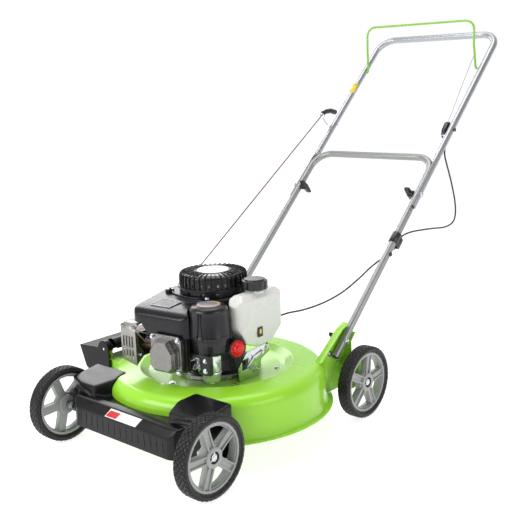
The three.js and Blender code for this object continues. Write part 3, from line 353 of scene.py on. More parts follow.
def swept(route, radius, sides=16, shape=None):
    """A round bar along a route without twisting; radius may follow the way along, shape bends a point."""
    route = [Vector(p) for p in route]
    last = len(route) - 1
    tangents = [(route[min(i + 1, last)] - route[max(i - 1, 0)]).normalized() for i in range(last + 1)]
    normal = tangents[0].orthogonal().normalized()
    verts, faces = [], []
    for i, (point, tangent) in enumerate(zip(route, tangents)):
        if i:
            normal = tangents[i - 1].rotation_difference(tangent) @ normal
        side = tangent.cross(normal)
        r = radius(i / last) if callable(radius) else radius
        for k in range(sides):
            a = TAU * k / sides
            spot = point + (normal * cos(a) + side * sin(a)) * r
            verts.append(shape(spot, point) if shape else spot)
    for i in range(last):
        for k in range(sides):
            j = (k + 1) % sides
            faces.append((i * sides + k, i * sides + j, (i + 1) * sides + j, (i + 1) * sides + k))
    faces.append(tuple(reversed(range(sides))))
    faces.append(tuple(range(len(verts) - sides, len(verts))))
    return verts, faces


def prism(outline, z0, z1):
    count = len(outline)
    verts = [(x, y, z) for z in (z0, z1) for x, y in outline]
    faces = [tuple(reversed(range(count))), tuple(range(count, 2 * count))]
    for k in range(count):
        j = (k + 1) % count
        faces.append((k, j, count + j, count + k))
    return verts, faces


def box(x, y, z):
    return prism([(x[0], y[0]), (x[1], y[0]), (x[1], y[1]), (x[0], y[1])], *z)


def strip(first, second):
    """A sheet between two lines of points."""
    count = len(first)
    faces = [(k, k + 1, count + k + 1, count + k) for k in range(count - 1)]
    return [*first, *second], faces


def section(points, x0, x1):
    """A (y, z) outline reaching from x0 to x1."""
    verts, faces = prism(points, x0, x1)
    return [(z, x, y) for x, y, z in verts], faces


def moved(shape, matrix):
    verts, faces = shape
    return [matrix @ Vector(v) for v in verts], faces


def around(shape, count, start=0.0):
    """Copies of a shape at equal steps about Z, the first one start steps round."""
    return [moved(shape, rotate(TAU * (k + start) / count)) for k in range(count)]


def gathered(shapes):
    verts, faces = [], []
    for points, polygons in shapes:
        start = len(verts)
        verts.extend(points)
        faces.extend(tuple(i + start for i in face) for face in polygons)
    return verts, faces


def hex_head(across, height, spot, axis=(0, 0, 1), washer=1.4):
    """A hexagon head with a chamfered top on a round washer, standing at a spot along an axis."""
    levels = ((across, 0.9), (across, height - 0.8), (across * 0.88, height))
    verts = [(r * cos(TAU * k / 6), r * sin(TAU * k / 6), z) for r, z in levels for k in range(6)]
    faces = [tuple(range(12, 18)), tuple(reversed(range(6)))]
    for i in (0, 6):
        for k in range(6):
            j = (k + 1) % 6
            faces.append((i + k, i + j, i + 6 + j, i + 6 + k))
    disc = turned([(0, 0), (across * washer, 0), (across * washer, 1), (0, 1.1)], 24)
    turn = Vector((0, 0, 1)).rotation_difference(Vector(axis)).to_matrix().to_4x4()
    return moved(gathered([(verts, faces), disc]), slide(*spot) @ turn)


def spring(start, end, coil, wire, turns, steps=14):
    """A helical spring of round wire along a straight line."""
    start, end = Vector(start), Vector(end)
    axis = (end - start).normalized()
    side = axis.orthogonal().normalized()
    other = axis.cross(side)
    line = []
    for k in range(turns * steps + 1):
        a = TAU * k / steps
        line.append(start.lerp(end, k / (turns * steps)) + (side * cos(a) + other * sin(a)) * coil)
    return swept(line, wire, 6)


# ---- pieces
def weld(mesh, outward):
    """Merges the points that coincide and, if asked, turns every face outward."""
    work = bmesh.new()
    work.from_mesh(mesh)
    bmesh.ops.remove_doubles(work, verts=work.verts, dist=MERGE)
    if outward:
        bmesh.ops.recalc_face_normals(work, faces=work.faces)
    work.to_mesh(mesh)
    work.free()


def raw(shape, place=PLACE, name="tool"):
    """A plain object from a shape in millimetres in the given place."""
    verts, faces = shape
    mesh = bpy.data.meshes.new(name)
    mesh.from_pydata([place @ Vector(v) for v in verts], [], faces)
    weld(mesh, outward=True)
    return placed(name, mesh)


def shade(mesh, look, crease):
    mesh.materials.clear()
    mesh.materials.append(look)
    mesh.polygons.foreach_set("use_smooth", [True] * len(mesh.polygons))
    mesh.set_sharp_from_angle(angle=radians(crease))


def dress(piece, look, body, replaces=(), crease=35, slot=None):
    """Gives a piece its look, the body it rides and the nodes it replaces; its slot is looked up and not
    kept.
    """
    shade(piece.data, look, crease)
    if body:
        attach(piece, body)
    if replaces:
        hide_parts(*replaces)
    plain = look.name.split(".")[0]
    slot or SLOTS.get(plain, plain)
    return piece


def make(name, shapes, look, body, place=PLACE, **options):
    """A piece of one or more closed shapes."""
    return dress(raw(gathered(shapes), place, name), look, body, **options)


def lathe(name, profile, look, body, place=PLACE, segments=96, shape=None, **options):
    return make(name, [turned(profile, segments, shape)], look, body, place, **options)


def rod(name, route, radius, look, body, place=PLACE, sides=16, shape=None, **options):
    return make(name, [swept(route, radius, sides, shape)], look, body, place, **options)


def apply_modifiers(piece):
    graph = bpy.context.evaluated_depsgraph_get()
    graph.update()
    mesh = bpy.data.meshes.new_from_object(piece.evaluated_get(graph))
    piece.modifiers.clear()
    old, piece.data = piece.data, mesh
    if old.users == 0:
        bpy.data.meshes.remove(old)
    return piece


def carve(piece, tools, operation="DIFFERENCE"):
    for tool in tools:
        step = piece.modifiers.new("carve", "BOOLEAN")
        step.object = tool
        step.operation = operation
        step.solver = "EXACT"
    apply_modifiers(piece)
    for tool in tools:
        bpy.data.objects.remove(tool)
    return piece


def soften(piece, voxel, rounds):
    """Rebuilds a solid with small voxels and rounds its edges, as a moulding or casting is."""
    step = piece.modifiers.new("voxels", "REMESH")
    step.mode = "VOXEL"
    step.voxel_size = voxel / 1000
    ease = piece.modifiers.new("ease", "SMOOTH")
    ease.factor = 0.5
    ease.iterations = rounds
    return apply_modifiers(piece)


def round_edges(piece, width, segments=3):
    edge = piece.modifiers.new("edge", "BEVEL")
    edge.width = width / 1000
    edge.segments = segments
    edge.limit_method = "ANGLE"
    edge.angle_limit = radians(40)
    edge.harden_normals = True
    return piece


def thicken(piece, thickness=0.3):
    piece.modifiers.new("thick", "SOLIDIFY").thickness = thickness / 1000


def cad_copy(node, name):
    piece = NODES[node].copy()
    piece.data = NODES[node].data.copy()
    for key in [k for k in piece.keys() if k.startswith("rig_")]:
        del piece[key]
    piece.name = name
    piece.data.name = name
    piece.parent = None
    piece.matrix_world = Matrix.Identity(4)
    SCENE.collection.objects.link(piece)
    weld(piece.data, outward=False)
    return piece


def moulded(node, name, look, body, voxel, rounds, cuts=(), crease=60):
    """A CAD node's form with moulded edges."""
    piece = cad_copy(node, name)
    if cuts:
        carve(piece, cuts)
    soften(piece, voxel, rounds)
    return dress(piece, look, body, (node,), crease)


def shelled(form, name, node, look, voxel, rounds, cuts):
    """A moulding: a solid form with rounded edges, then hollowed by the cuts, which stay crisp."""
    soften(form, voxel, rounds)
    carve(form, cuts)
    form.name = name
    return dress(form, look, "chassis", (node,), 40)


def keep(node, look, bevel=0.6):
    """A CAD node that stays, with its edges broken by a small bevel."""
    piece = NODES[node]
    shade(piece.data, look, 35)
    piece.modifiers.new("weld", "WELD").merge_threshold = MERGE
    return round_edges(piece, bevel, 2)


# ---- deck
DECK_SEGMENTS = 180
CHUTE_MOUTH = -316
SHEET = 2.4


def deck_line(offset):
    """The deck's section from the lip up over the shoulder and down into the engine's dish."""
    wall, shoulder = 292, 34
    line = [(298 + offset, 79 + offset), (293 + offset, 98)]
    line += arc_points(wall - shoulder, 184 - shoulder, shoulder + offset, 4, 88, 14)
    return line + [(206, 188 + offset), (185, 174.5 + offset), (170, 172 + offset)]


def make_deck():
    outer = filleted([(311.5, 75.8), *deck_line(0)[:2]], [5]) + deck_line(0)[2:-3]
    bowl = filleted(deck_line(0)[-4:], [6, 8])[1:]
    inner = [*deck_line(-SHEET)[2:-1], (174, 172 - SHEET)][::-1]
    foot = [(290.6, 98), (295.6, 79), (295.6, 74), (311.6, 74)]
    profile = [*outer, *bowl, (60, 172), (60, 172 - SHEET), *inner, *foot]
    deck = raw(turned([*profile, profile[0]], DECK_SEGMENTS), ENGINE)
    form = [(0, 30), (311, 30), (311, 75.5), *[(r - 0.6, z) for r, z in deck_line(0)], (0, 171.4)]
    tunnel = raw(box((CHUTE_MOUTH, -200), (-142, 52), (74, 176)))
    carve(tunnel, [raw(turned(form, 96), ENGINE)])
    carve(deck, [tunnel], "UNION")
    carve(deck, [raw(box((-400, -190), (-139.6, 49.6), (60, 173.6)))])
    deck.name = "deck_pressing"
    dress(deck, LIME, "chassis", ("deck_shell",), 28)
    ears = [box((-297, -282), (y, y + 8), (174, 213)) for y in (-130, 32)]
    round_edges(make("flap_hinge_ears", ears, LIME, "chassis"), 3)
    bolts = []
    for k in range(6):
        a = TAU * (k + 0.5) / 6
        bolts.append(hex_head(6, 4, (165 * cos(a), 165 * sin(a), 172)))
    make("deck_screws", bolts, ZINC, "chassis", ENGINE)


# ---- front axle carrier
CARRIER_FRONT = -338


def carrier_form(inset, bottom):
    """The beam across the front with a raised block in front of each wheel."""
    w = 205 - inset
    front = CARRIER_FRONT + inset
    plan = [(-w, -230), (-w, -300), (20 - w, front + 6), (36 - w, front)]
    plan += [(-x, y) for x, y in reversed(plan)]
    top = 142 - inset
    side = [(-200, bottom), (front, bottom), (front, 124), (-324 + inset, top + 5), (-302, top + 8)]
    side += [(-285, top), (-200, top)]
    form = raw(prism(plan, bottom - 5, 200))
    carve(form, [raw(section(side, -260, 260))], "INTERSECT")
    edge = 250 - inset
    for sign in (-1, 1):
        plan = [(118 + inset, -250), (140 + inset, -303 + inset), (197, -303 + inset), (edge, -286 + inset),
                (edge, -200 - inset), (130, -200 - inset)]
        side = [(-310, bottom), (-310, 172 - inset), (-290, 176 - inset), (-195, 190 - inset), (-195, bottom)]
        block = raw(prism([(sign * x, y) for x, y in plan], bottom - 5, 200))
        carve(block, [raw(section(side, -260, 260))], "INTERSECT")
        carve(form, [block], "UNION")
    return form


def make_carrier():
    room = [(0, 20), (313, 20), (313, 77), *deck_line(0.5)[:-2], (0, 188.5)]
    axle = moved(turned([(0, -300), (6.4, -300), (6.4, 300), (0, 300)], 24),
                 slide(0, -AXLE_Y, AXLE_Z) @ rotate(pi / 2, "Y"))
    cuts = [raw(box((-300, 300), (-400, -100), (0, 60))), raw(box((-205, 205), (-400, -305), (0, 74))),
            carrier_form(4, 20), raw(turned(room, 120), ENGINE), raw(axle)]
    shelled(carrier_form(0, 30), "front_bumper", "front_axle_carrier", BUMPER, 2.4, 26, cuts)
    ribs = []
    for k in range(-7, 8):
        x = k * 22
        line = [(x * 1.02, -337.0, 80), (x * 1.01, -337.8, 92), (x, -338.0, 108), (x * 0.99, -337.2, 121)]
        if abs(x - 5) > 72:
            line += [(x * 0.98, -333, 131), (x * 0.96, -327, 142)]
        ribs.append(swept(smooth_route(line, 5), lambda t: 1.3 - 0.6 * t, 8))
    for sign in (-1, 1):
        for k in range(3):
            x = sign * (172 + 9 * k)
            line = [(x, -332 + 4.5 * k, 80), (x, -332.4 + 4.5 * k, 100), (x - sign * 3, -330 + 4.5 * k, 122)]
            ribs.append(swept(smooth_route(line, 6), 1.3, 8))
        arch = [(240, -288, 84), (240, -289, 120), (232, -293, 148), (206, -302, 160), (172, -305, 158),
                (148, -304, 148)]
        ribs.append(swept(smooth_route([(sign * x, y, z) for x, y, z in arch], 8), 5.5, 16))
    make("bumper_ribs", ribs, BUMPER, "chassis", crease=50)
    slope = atan2(147 - 124, -324 + 338)
    face = PLACE @ slide(5, -331, 135.5) @ rotate(slope, "X")
    label = [(-63, -11), (52, -11), (66, 12), (-49, 12)]
    split = [(-63, -11), (-22, -11), (-8, 12), (-49, 12)]
    make("bumper_label", [prism(label, -1, 0.7)], WHITE, "chassis", face)
    split = [(x * 0.93 - 2, y * 0.72 - 1) for x, y in split]
    make("bumper_label_red", [prism(split, 0, 1.0)], RED, "chassis", face)


def make_brackets():
    for name, sign in SIDES:
        keep(f"handle_bracket_{name}", LIME, bevel=0.9)
        heads = [hex_head(6, 5, (sign * 214.6, y, z), (sign, 0, 0)) for y, z in ((226, 190), (262, 166))]
        make(f"bracket_screws_{name}", heads, ZINC, "chassis")


# ---- wheels
AXLE_Y = 302.5
AXLE_Z = 100
HALF_TRACK = 273
SPOKES = 5


def tread(r, z, a):
    """Cuts crossed grooves into a tyre's crown."""
    if r < 95.5:
        return r, z
    across, along = z / 12.7, a * 100 / 14.96
    one = abs((along + across) % 1 - 0.5)
    two = abs((along - across) % 1 - 0.5)
    groove = min(1, max(0, 1.6 - min(one, two) / 0.085))
    return min(r, 99.9) - 1.9 * groove * min(1, (r - 95.5) / 2), z


def make_tyre(label, place):
    half = 19
    side = [(83.3, 4 - half), (85, 2.2 - half), (88, 1.4 - half), (89, 0.5 - half), (91.5, -half)]
    side.append((94.5, 1 - half))
    crown = [(97 + 2.9 * sin(a), 1.8 - half + 4.4 * (1 - cos(a))) for a in map(radians, (10, 30, 55, 80))]
    flat = [(99.9, z * 0.9) for z in range(-13, 14)]
    mirror = [(r, -z) for r, z in reversed([*side, *crown])]
    profile = [*side, *crown, *flat, *mirror, (83.3, 4 - half)]
    lathe(f"tyre_rubber_{label}", profile, TYRE, f"wheel_{label}", place, 300, tread,
          replaces=(f"tyre_{label}",), crease=28)


def make_wheel(label, place, roll):
    make_tyre(label, place)
    keep(f"rim_{label}", RIM, bevel=1.1)
    ribs = []
    for side in (-1, 1):
        line = [(22, side * 6.4, 12), (27, side * 8.2, 11.4), (50, side * 8.5, 10.2), (70, side * 9.0, 10.0),
                (77, side * 10.6, 11.6)]
        ribs += around(swept(smooth_route(line, 5), 2.8, 10), SPOKES, roll)
    ribs += [turned(bead(radius, z, thick), 72) for radius, z, thick in ((78.6, 12.2, 2.2), (73.6, 9.4, 1.4))]
    make(f"rim_ribs_{label}", ribs, RIM, f"wheel_{label}", place, crease=50)
    dish = [(14.2, 14.6), (15.2, 15.7), (17, 15.9), (22.6, 15.4), (25.0, 13.6), (25.6, 9.2)]
    lathe(f"hub_disc_{label}", dish, RIM, f"wheel_{label}", place, 72, crease=50)
    # The recess round the hub nut is painted black as shade; it is the rim's grey plastic.
    cup = [(14.35, 8.05), (14.35, 14.8), (13.7, 15.2), (13.2, 14.6), (13.2, 8.4), (9.9, 8.4)]
    lathe(f"hub_cup_{label}", cup, BLACK_PRINT_AND_SHADE, f"wheel_{label}", place, 40, crease=30, slot="rim_plastic")
    head = hex_head(9.7, 6.2, (0, 0, 8.6), washer=1.25)
    tip = turned([(0, 17.4), (5.4, 17.4), (5.9, 16.8), (5.9, 13), (0, 13)], 24)
    make(f"hub_nut_{label}", [head, moved(tip, slide(0, 0, -1.6))], ZINC, "chassis", place, crease=25)
    keep(f"axle_bolt_{label}", ZINC, bevel=0.5)


def make_wheels():
    for axle, y, roll in (("front", -AXLE_Y, 5 / 7), ("rear", AXLE_Y, 5 / 14)):
        for name, sign in SIDES:
            place = PLACE @ slide(sign * HALF_TRACK, y, AXLE_Z) @ rotate(sign * pi / 2, "Y")
            make_wheel(f"{axle}_{name}", place, roll)


def make_flap():
    moulded("discharge_flap", "discharge_cover", FLAP, "flap", voxel=1.2, rounds=9)
    keep("flap_hinge_pin", ZINC, bevel=0.4)


# ---- handles
TUBE_RADIUS = 10.95
LOWER_LEG, LOWER_END = 225.8, -54
UPPER_LEG, UPPER_END = 229.9, 477


def pressed(plane, side, start, end, run_in=16, legs_from=200):
    """Presses a tube flat against a plane on both legs, with a soft run-in at each end."""
    def shape(spot, centre):
        ramp = min(1, max(0, (centre.y - start) / run_in), max(0, (end - centre.y) / run_in))
        ease = ramp * ramp * (3 - 2 * ramp)
        past = (abs(spot.x) - plane) * side
        if past < 0 and ease > 0 and abs(centre.x) > legs_from:
            reach = plane + side * past * (1 - ease)
            return Vector((copysign(reach, spot.x), spot.y, spot.z * (1 + 0.05 * ease)))
        return spot
    return shape


def make_handle(node, leg, end, top, flat, look, body):
    corners = [(leg, end, 0), (leg, top, 0), (-leg, top, 0), (-leg, end, 0)]
    route = with_steps(rounded_route(corners, 60, 24))
    rod(f"{node}_tube", route, TUBE_RADIUS, look, body, HANDLE, 24, pressed(*flat), replaces=(node,),
        crease=60)


def make_handles():
    make_handle("lower_handle", LOWER_LEG, LOWER_END, 668.7, (230.9, -1, 462, 740), LOWER_TUBE, "chassis")
    make_handle("upper_handle", UPPER_LEG, UPPER_END, 1214.3, (231.1, 1, 440, 664), UPPER_TUBE, "upper_frame")


def make_end_plugs():
    ends = (("lower", LOWER_LEG, LOWER_END, "chassis"), ("upper", UPPER_LEG, UPPER_END, "upper_frame"))
    for name, sign in SIDES:
        for part, leg, end, body in ends:
            plug = turned([(0, -1.8), (8.6, -1.8), (9.8, -0.8), (10.3, 0.6), (9, 3), (0, 3)], 28)
            turn = slide(sign * leg, end, 0) @ rotate(-pi / 2, "X")
            squeeze = Matrix.Scale(0.62 if part == "upper" else 1, 4, (1, 0, 0))
            make(f"{part}_end_plug_{name}", [moved(plug, turn @ squeeze)], KNOB, body, HANDLE)


def make_bail():
    corners = [(226.9, 1051, 0), (209, 1051, 0), (206, 1100, 66), (206, 1150, 119)]
    mirrored = [(-x, s, n) for x, s, n in reversed(corners)]
    route = with_steps(rounded_route([*corners, *mirrored], [12, 20, 30, 30, 20, 12], 10), 12)
    rod("bail_rod", route, 3.55, BAIL_PAINT, "bail", HANDLE, 14, replaces=("bail_lever",), crease=60)


def make_fasteners():
    for name, _ in SIDES:
        for part in ("fold", "base"):
            knob = f"{part}_knob_{name}"
            moulded(knob, f"{part}_wing_knob_{name}", KNOB, f"{knob}_body", voxel=0.8, rounds=4)
            keep(f"{part}_bolt_{name}", ZINC, bevel=0.4)


def make_cable_parts():
    keep("cable_stop", KNOB, bevel=0.8)
    keep("cable_clip", KNOB, bevel=0.8)
    plug = [(0, 0), (6.5, 0), (6.5, 3), (5.2, 4.4), (0, 4.8)]
    turn = slide(LOWER_LEG + 10.2, 300, 0) @ rotate(pi / 2, "Y")
    make("tube_hole_plug", [moved(turned(plug, 24), turn)], KNOB, "chassis", HANDLE)
    curve = arc_points(-UPPER_LEG, 0, 11.4, 20, 160, 20)
    tag = strip(*[[(x, s, z) for x, z in curve] for s in (949, 990)])
    thicken(make("handle_tag", [tag], YELLOW, "upper_frame", HANDLE, slot="upper_handle_paint"))


# ---- engine castings
def make_castings():
    moulded("crankcase_and_cylinder", "crankcase_casting", CASE, "chassis", voxel=1.4, rounds=2, crease=50)
    keep("cylinder_head", CASE, bevel=0.7)
    moulded("valve_cover", "valve_cover_casting", COVER, "chassis", voxel=0.8, rounds=4)
    ring = [(112, 183.6), (112.6, 184.2), (116.6, 184.2), (118.4, 182.8), (118.4, 173), (117, 172.4)]
    lathe("crankcase_flange", ring, FLANGE, "chassis", HEAD, 128, crease=30)
    keep("spark_plug", CERAMIC, bevel=0.4)
    heads = []
    for x, z in ((-41, -41), (-41, 41), (41, -41), (41, 41)):
        heads.append(hex_head(5, 6, (x, -203.4, 264 + z), FORWARD))
    for x, z in ((-34, 232), (34, 232), (-34, 292)):
        heads.append(hex_head(4.5, 5, (x, -196.5, z), FORWARD))
    make("valve_cover_screws", heads, ZINC, "chassis", HEAD)
    feet = [hex_head(6.5, 6, (102 * cos(a), 102 * sin(a), 183.3)) for a in (0.5, 2.1, 3.7, 5.3)]
    stud = turned([(10, 183), (11.5, 183), (11.5, 206), (10, 208), (0, 208)], 24)
    feet.append(moved(stud, slide(96, 48, 0)))
    make("crankcase_screws", feet, ZINC, "chassis", HEAD)
    plug_place = HEAD @ slide(-92, -62, 0)
    cap = [(0, 204), (15, 204), (15, 212), (12, 214), (12, 219), (0, 220)]
    lathe("oil_filler_plug", cap, KNOB, "chassis", plug_place, 32)
    neck = [(0, 183.4), (11, 183.4), (11, 204.2), (0, 204.2)]
    lathe("oil_filler_neck", neck, CAST, "chassis", plug_place, 32)
    route = smooth_route([(-86, -178, 282), (-90, -168, 290), (-76, -150, 302), (-52, -120, 304)], 8)
    rod("spark_lead", route, 3.2, CABLE, "chassis", HEAD, 12)
    boot = [(0, 0), (5, 0), (8.4, 4), (8.4, 18), (9.4, 19), (9.4, 24), (6, 25), (0, 25)]
    turn = slide(-60, -178, 282) @ rotate(-pi / 2, "Y")
    make("spark_plug_boot", [moved(turned(boot, 28), turn)], CABLE, "chassis", HEAD)


def make_exhaust():
    moulded("muffler", "muffler_can", MUFFLER, "chassis", voxel=1.2, rounds=3)
    keep("muffler_guard", STAINLESS, bevel=0.35)
    place = HEAD @ slide(-137.6, -191.7, 0) @ rotate(radians(-5.2))
    parts = [hex_head(4.6, 5, (28, 15, 240), OUTWARD), hex_head(4, 4, (-21, 0, 315.5), (0, -1, 0.4)),
             hex_head(4, 4, (21, 0, 315.5), (0, -1, 0.4))]
    make("guard_screws", parts, ZINC, "chassis", place)
    rims = []
    for z0, z1 in ((226, 252), (259, 289)):
        for k in range(4):
            x = k * 11 - 21
            loop = [(x, 0, z0), (x + 6, 0, z0), (x + 6, 0, z1), (x, 0, z1)]
            path = rounded_route([(x + 3, 0, z0), *loop[1:], loop[0], (x + 3, 0, z0)], 1.2, 3)
            rims.append(swept(path, 0.7, 6))
    make("guard_slot_rims", rims, STAINLESS, "chassis", place)
    pipes = [swept(smooth_route([(34, 4, 300), (38, 16, 284), (40, 34, 262), (34, 52, 246)], 6), 2.2, 12),
             swept(smooth_route([(22, -2, 312), (36, 6, 306), (52, 26, 296), (66, 40, 296)], 6), 1.8, 12)]
    make("governor_rods", pipes, STEEL, "chassis", place)


# ---- shroud and starter
def cowl_form(inset, bottom):
    """The cowl's solid form over the flywheel and the cylinder."""
    x0, x1, y0, y1, r = -130 + inset, 62 - inset, -190 + inset, 20, 30 - inset
    plan = []
    left, right, low, high = x0 + r, x1 - r, y0 + r, y1 - r
    for x, y, a in ((right, low, -90), (right, high, 0), (left, high, 90), (left, low, 180)):
        plan += arc_points(x, y, r, a, a + 90, 8)
    top = 384 - inset
    side = [(120, bottom), (120, top), (-52, top), (-150, top - 14), (-176, top - 19), (y0 + 1, top - 30),
            (y0, top - 44), (y0, bottom)]
    form = raw(prism(plan, bottom, 400), HEAD)
    carve(form, [raw(section(side, -200, 200), HEAD)], "INTERSECT")
    bowl = turned([(0, bottom), (106 - inset, bottom), (106 - inset, top), (0, top)], 96)
    return carve(form, [raw(bowl, HEAD)], "UNION")


def make_shroud():
    notch = prism([(-140, 280), (-140, 330), (-90, 330), (-66, 300), (-66, 280)], 100, 200)
    notch = moved(notch, rotate(pi / 2, "X"))
    room, wall = [raw(turned([(0, 260), (r, 260), (r, 410), (0, 410)], 72), INTAKE) for r in (55, 58)]
    intake = turned([(0, 370), (80, 370), (80, 400), (0, 400)], 72)
    under = box((-200, 200), (-250, 200), (240, 306))
    hollow = carve(cowl_form(3, 270), [wall])
    cuts = [hollow, raw(notch, HEAD), room, raw(intake, HEAD), raw(under, HEAD)]
    shelled(cowl_form(0, 280), "engine_cowl", "engine_shroud", SHROUD, 1.9, 64, cuts)
    place = HEAD @ slide(-50, -135, 374.0) @ rotate(atan2(11, 60), "X")
    outline = [(-36, -21), (28, -21), (35, 20), (-29, 20)]
    plate = raw(prism(outline, -3, 0.9), place)
    carve(plate, [raw(prism([(x * 0.95, y * 0.92) for x, y in outline], 0.2, 2), place)])
    plate.name = "cowl_badge_frame"
    dress(plate, FRAME_LINE, "chassis")
    inner = [(x * 0.945, y * 0.915) for x, y in outline]
    make("cowl_badge", [prism(inner, -3, 0.4)], SHROUD, "chassis", place)
    line = smooth_route([(-118, -46, 384.6), (-96, -58, 385.6), (-70, -80, 385.2), (-20, -98, 385.4),
                         (30, -92, 385.2), (52, -60, 384.8)], 10)
    rod("cowl_rib", line, 2.4, SHROUD, "chassis", HEAD, 12)
    boss = [(0, 380), (12, 380), (12, 388), (10.5, 390), (0, 390)]
    lathe("cowl_screw_boss", boss, SHROUD, "chassis", HEAD @ slide(-100, -62, 0), 32)
    spots = [(-100, -62, 390), (-60, 74, 384.3), (44, -84, 384.3)]
    make("cowl_screws", [hex_head(5.5, 5, spot) for spot in spots], ZINC, "chassis", HEAD)


def make_recoil():
    """The starter housing: a ribbed drum over a flange, with vents under the ribs and a disc on top."""
    profile = [(90, 384.4), (90, 399), (91, 400), (94, 400), (95, 401), (95, 404), (94, 405), (89, 405.5)]
    profile += [(87.2, 407), (86.6, 430)]
    profile += arc_points(80.6, 430, 6, 0, 80, 6)
    profile += [(76, 437.4), (74, 437.4), (72, 438.9), (44.5, 440.2), (43.5, 438.5), (0, 438.5)]
    housing = raw(turned([(0, 397), (60, 397), (84, 394), (86, 384.4), *profile], 144), ENGINE)
    vents = ((box((78, 92), (-4.2, 4.2), (409, 417)), 24), (box((84, 94), (-5, 5), (389, 396)), 14))
    carve(housing, [raw(gathered(around(hole, count, 0.5)), ENGINE) for hole, count in vents])
    housing.name = "recoil_drum"
    dress(housing, SHROUD, "chassis", ("recoil_housing",), 30)
    outlet = box((-99, -80), (-14, 16), (403, 420))
    round_edges(make("rope_outlet", [outlet], SHROUD, "chassis", ENGINE), 3)
    liner = turned([(0, 386), (82.5, 386), (82.5, 420), (0, 420)], 96)
    make("recoil_inner_drum", [liner], CAST, "chassis", ENGINE)
    line = [(88.2, 406), (88.6, 418), (88.2, 430), (86.6, 435.2), (83, 438.2), (77, 439.6), (60, 440.6),
            (50, 441)]
    rib = swept(smooth_route([(x, 0, z) for x, z in line], 3), lambda t: 1.75 - 0.85 * max(0, t - 0.55), 8)
    make("recoil_ribs", around(rib, 36), SHROUD, "chassis", ENGINE, crease=50)
    disc = [(42.5, 438.4), (42.5, 440.8), (41.8, 441.4), (14, 441.6), (13, 441.0), (0, 441.0)]
    lathe("recoil_disc", disc, BADGE, "chassis", ENGINE, 96, crease=25)
    lathe("recoil_ring", bead(47, 440, 1.4), SHROUD, "chassis", ENGINE, 96, crease=50)
    turn = slide(-99, 4, 411) @ rotate(radians(-78), "Y")
    make("rope_bushing", [moved(turned(bead(5.2, 0, 1.5), 28), turn)], ZINC, "chassis", ENGINE)


# ---- tank and cap
def make_tank():
    moulded("fuel_tank", "fuel_tank_shell", TANK, "chassis", voxel=1.5, rounds=14)
    side = PLACE @ slide(160.2, 8, 296) @ rotate(pi / 2, "Y")
    label = box((-13, 13), (-9, 9), (-1.5, 0.5))
    round_edges(make("tank_label", [label], BLACK_PRINT_AND_SHADE, "chassis", side, slot="tank_plastic"), 0.4)
    drop = []
    for k in range(24):
        a = TAU * k / 24
        drop.append((5.5 * cos(a) * (1 if cos(a) > 0 else 1.5), 4.5 * sin(a)))
    make("tank_label_mark", [prism(drop, 0.3, 0.8)], YELLOW, "chassis", side, slot="tank_plastic")
    moulded("fuel_cap", "fuel_cap_moulding", KNOB, "filler_cap", voxel=0.8, rounds=3)
    place = PLACE @ slide(131, 24, 0)
    lathe("fuel_cap_ring", bead(21, 429.3, 1.1, 0.6, 8), KNOB, "filler_cap", place, 64, crease=50)
    bar = box((-1.5, 1.5), (4, 17), (429, 430))
    make("fuel_cap_bars", around(bar, 6), KNOB, "filler_cap", place)
    collar = [(18.2, 394), (24, 394), (24, 399), (22, 401), (18.2, 401)]
    lathe("filler_collar", collar, TANK, "chassis", place, 64)


# ---- air filter, carburettor, primer
def make_filter():
    cover = [(50.5, 303.1), (52.9, 303.1), (53.4, 304), (53.4, 310), (52.6, 311), (51.8, 312.4)]
    cover += [(49.6, 364), (48, 371)]
    cover += arc_points(34.5, 370.5, 14, 8, 78, 10)
    cover += [(34, 385.6), (33, 384.8), (31.5, 385.6), (20, 386.6), (0, 386.9)]
    lathe("filter_lid", cover, FILTER, "chassis", INTAKE, 128, replaces=("air_filter_cover",), crease=28)
    disc = [(30.5, 385.4), (30.5, 386.9), (29.8, 387.2), (0, 387.4)]
    lathe("filter_lid_disc", disc, LID_DISC, "chassis", INTAKE, 96, crease=25)
    ring = strip(*[[(x, y, 387.55) for x, y in arc_points(0, 0, r, -150, 135, 44)] for r in (27.2, 24.5)])
    thicken(make("filter_lid_ring", [ring], YELLOW, "chassis", INTAKE, slot="filter_plastic"))
    ribs = []
    for side in (-1, 1):
        line = [(side * 3.2, -50.6, 372), (side * 3.4, -51.2, 350), (side * 5.4, -52.4, 325),
                (side * 8, -53.4, 313), (side * 8.2, -53.6, 305)]
        ribs.append(moved(swept(smooth_route(line, 5), 2.0, 10), rotate(radians(8))))
    ribs += around(swept([(52.2, 0, 312), (51.2, 0, 332), (50.6, 0, 345)], lambda t: 1.2 - t, 8), 10, 0.5)
    make("filter_lid_ribs", ribs, FILTER, "chassis", INTAKE, crease=50)
    keep("air_filter_element", FOAM, bevel=0.5)
    window = raw(box((-34, -6), (-60, -29.6), (205, 261)), INTAKE)
    moulded("air_filter_base", "filter_base", FILTER, "chassis", voxel=1.0, rounds=3, cuts=(window,))
    clips = around(box((50.5, 54.3), (-6, 6), (296, 318)), 2, 35 / 180)
    round_edges(make("filter_clips", clips, FILTER, "chassis", INTAKE), 1.2)


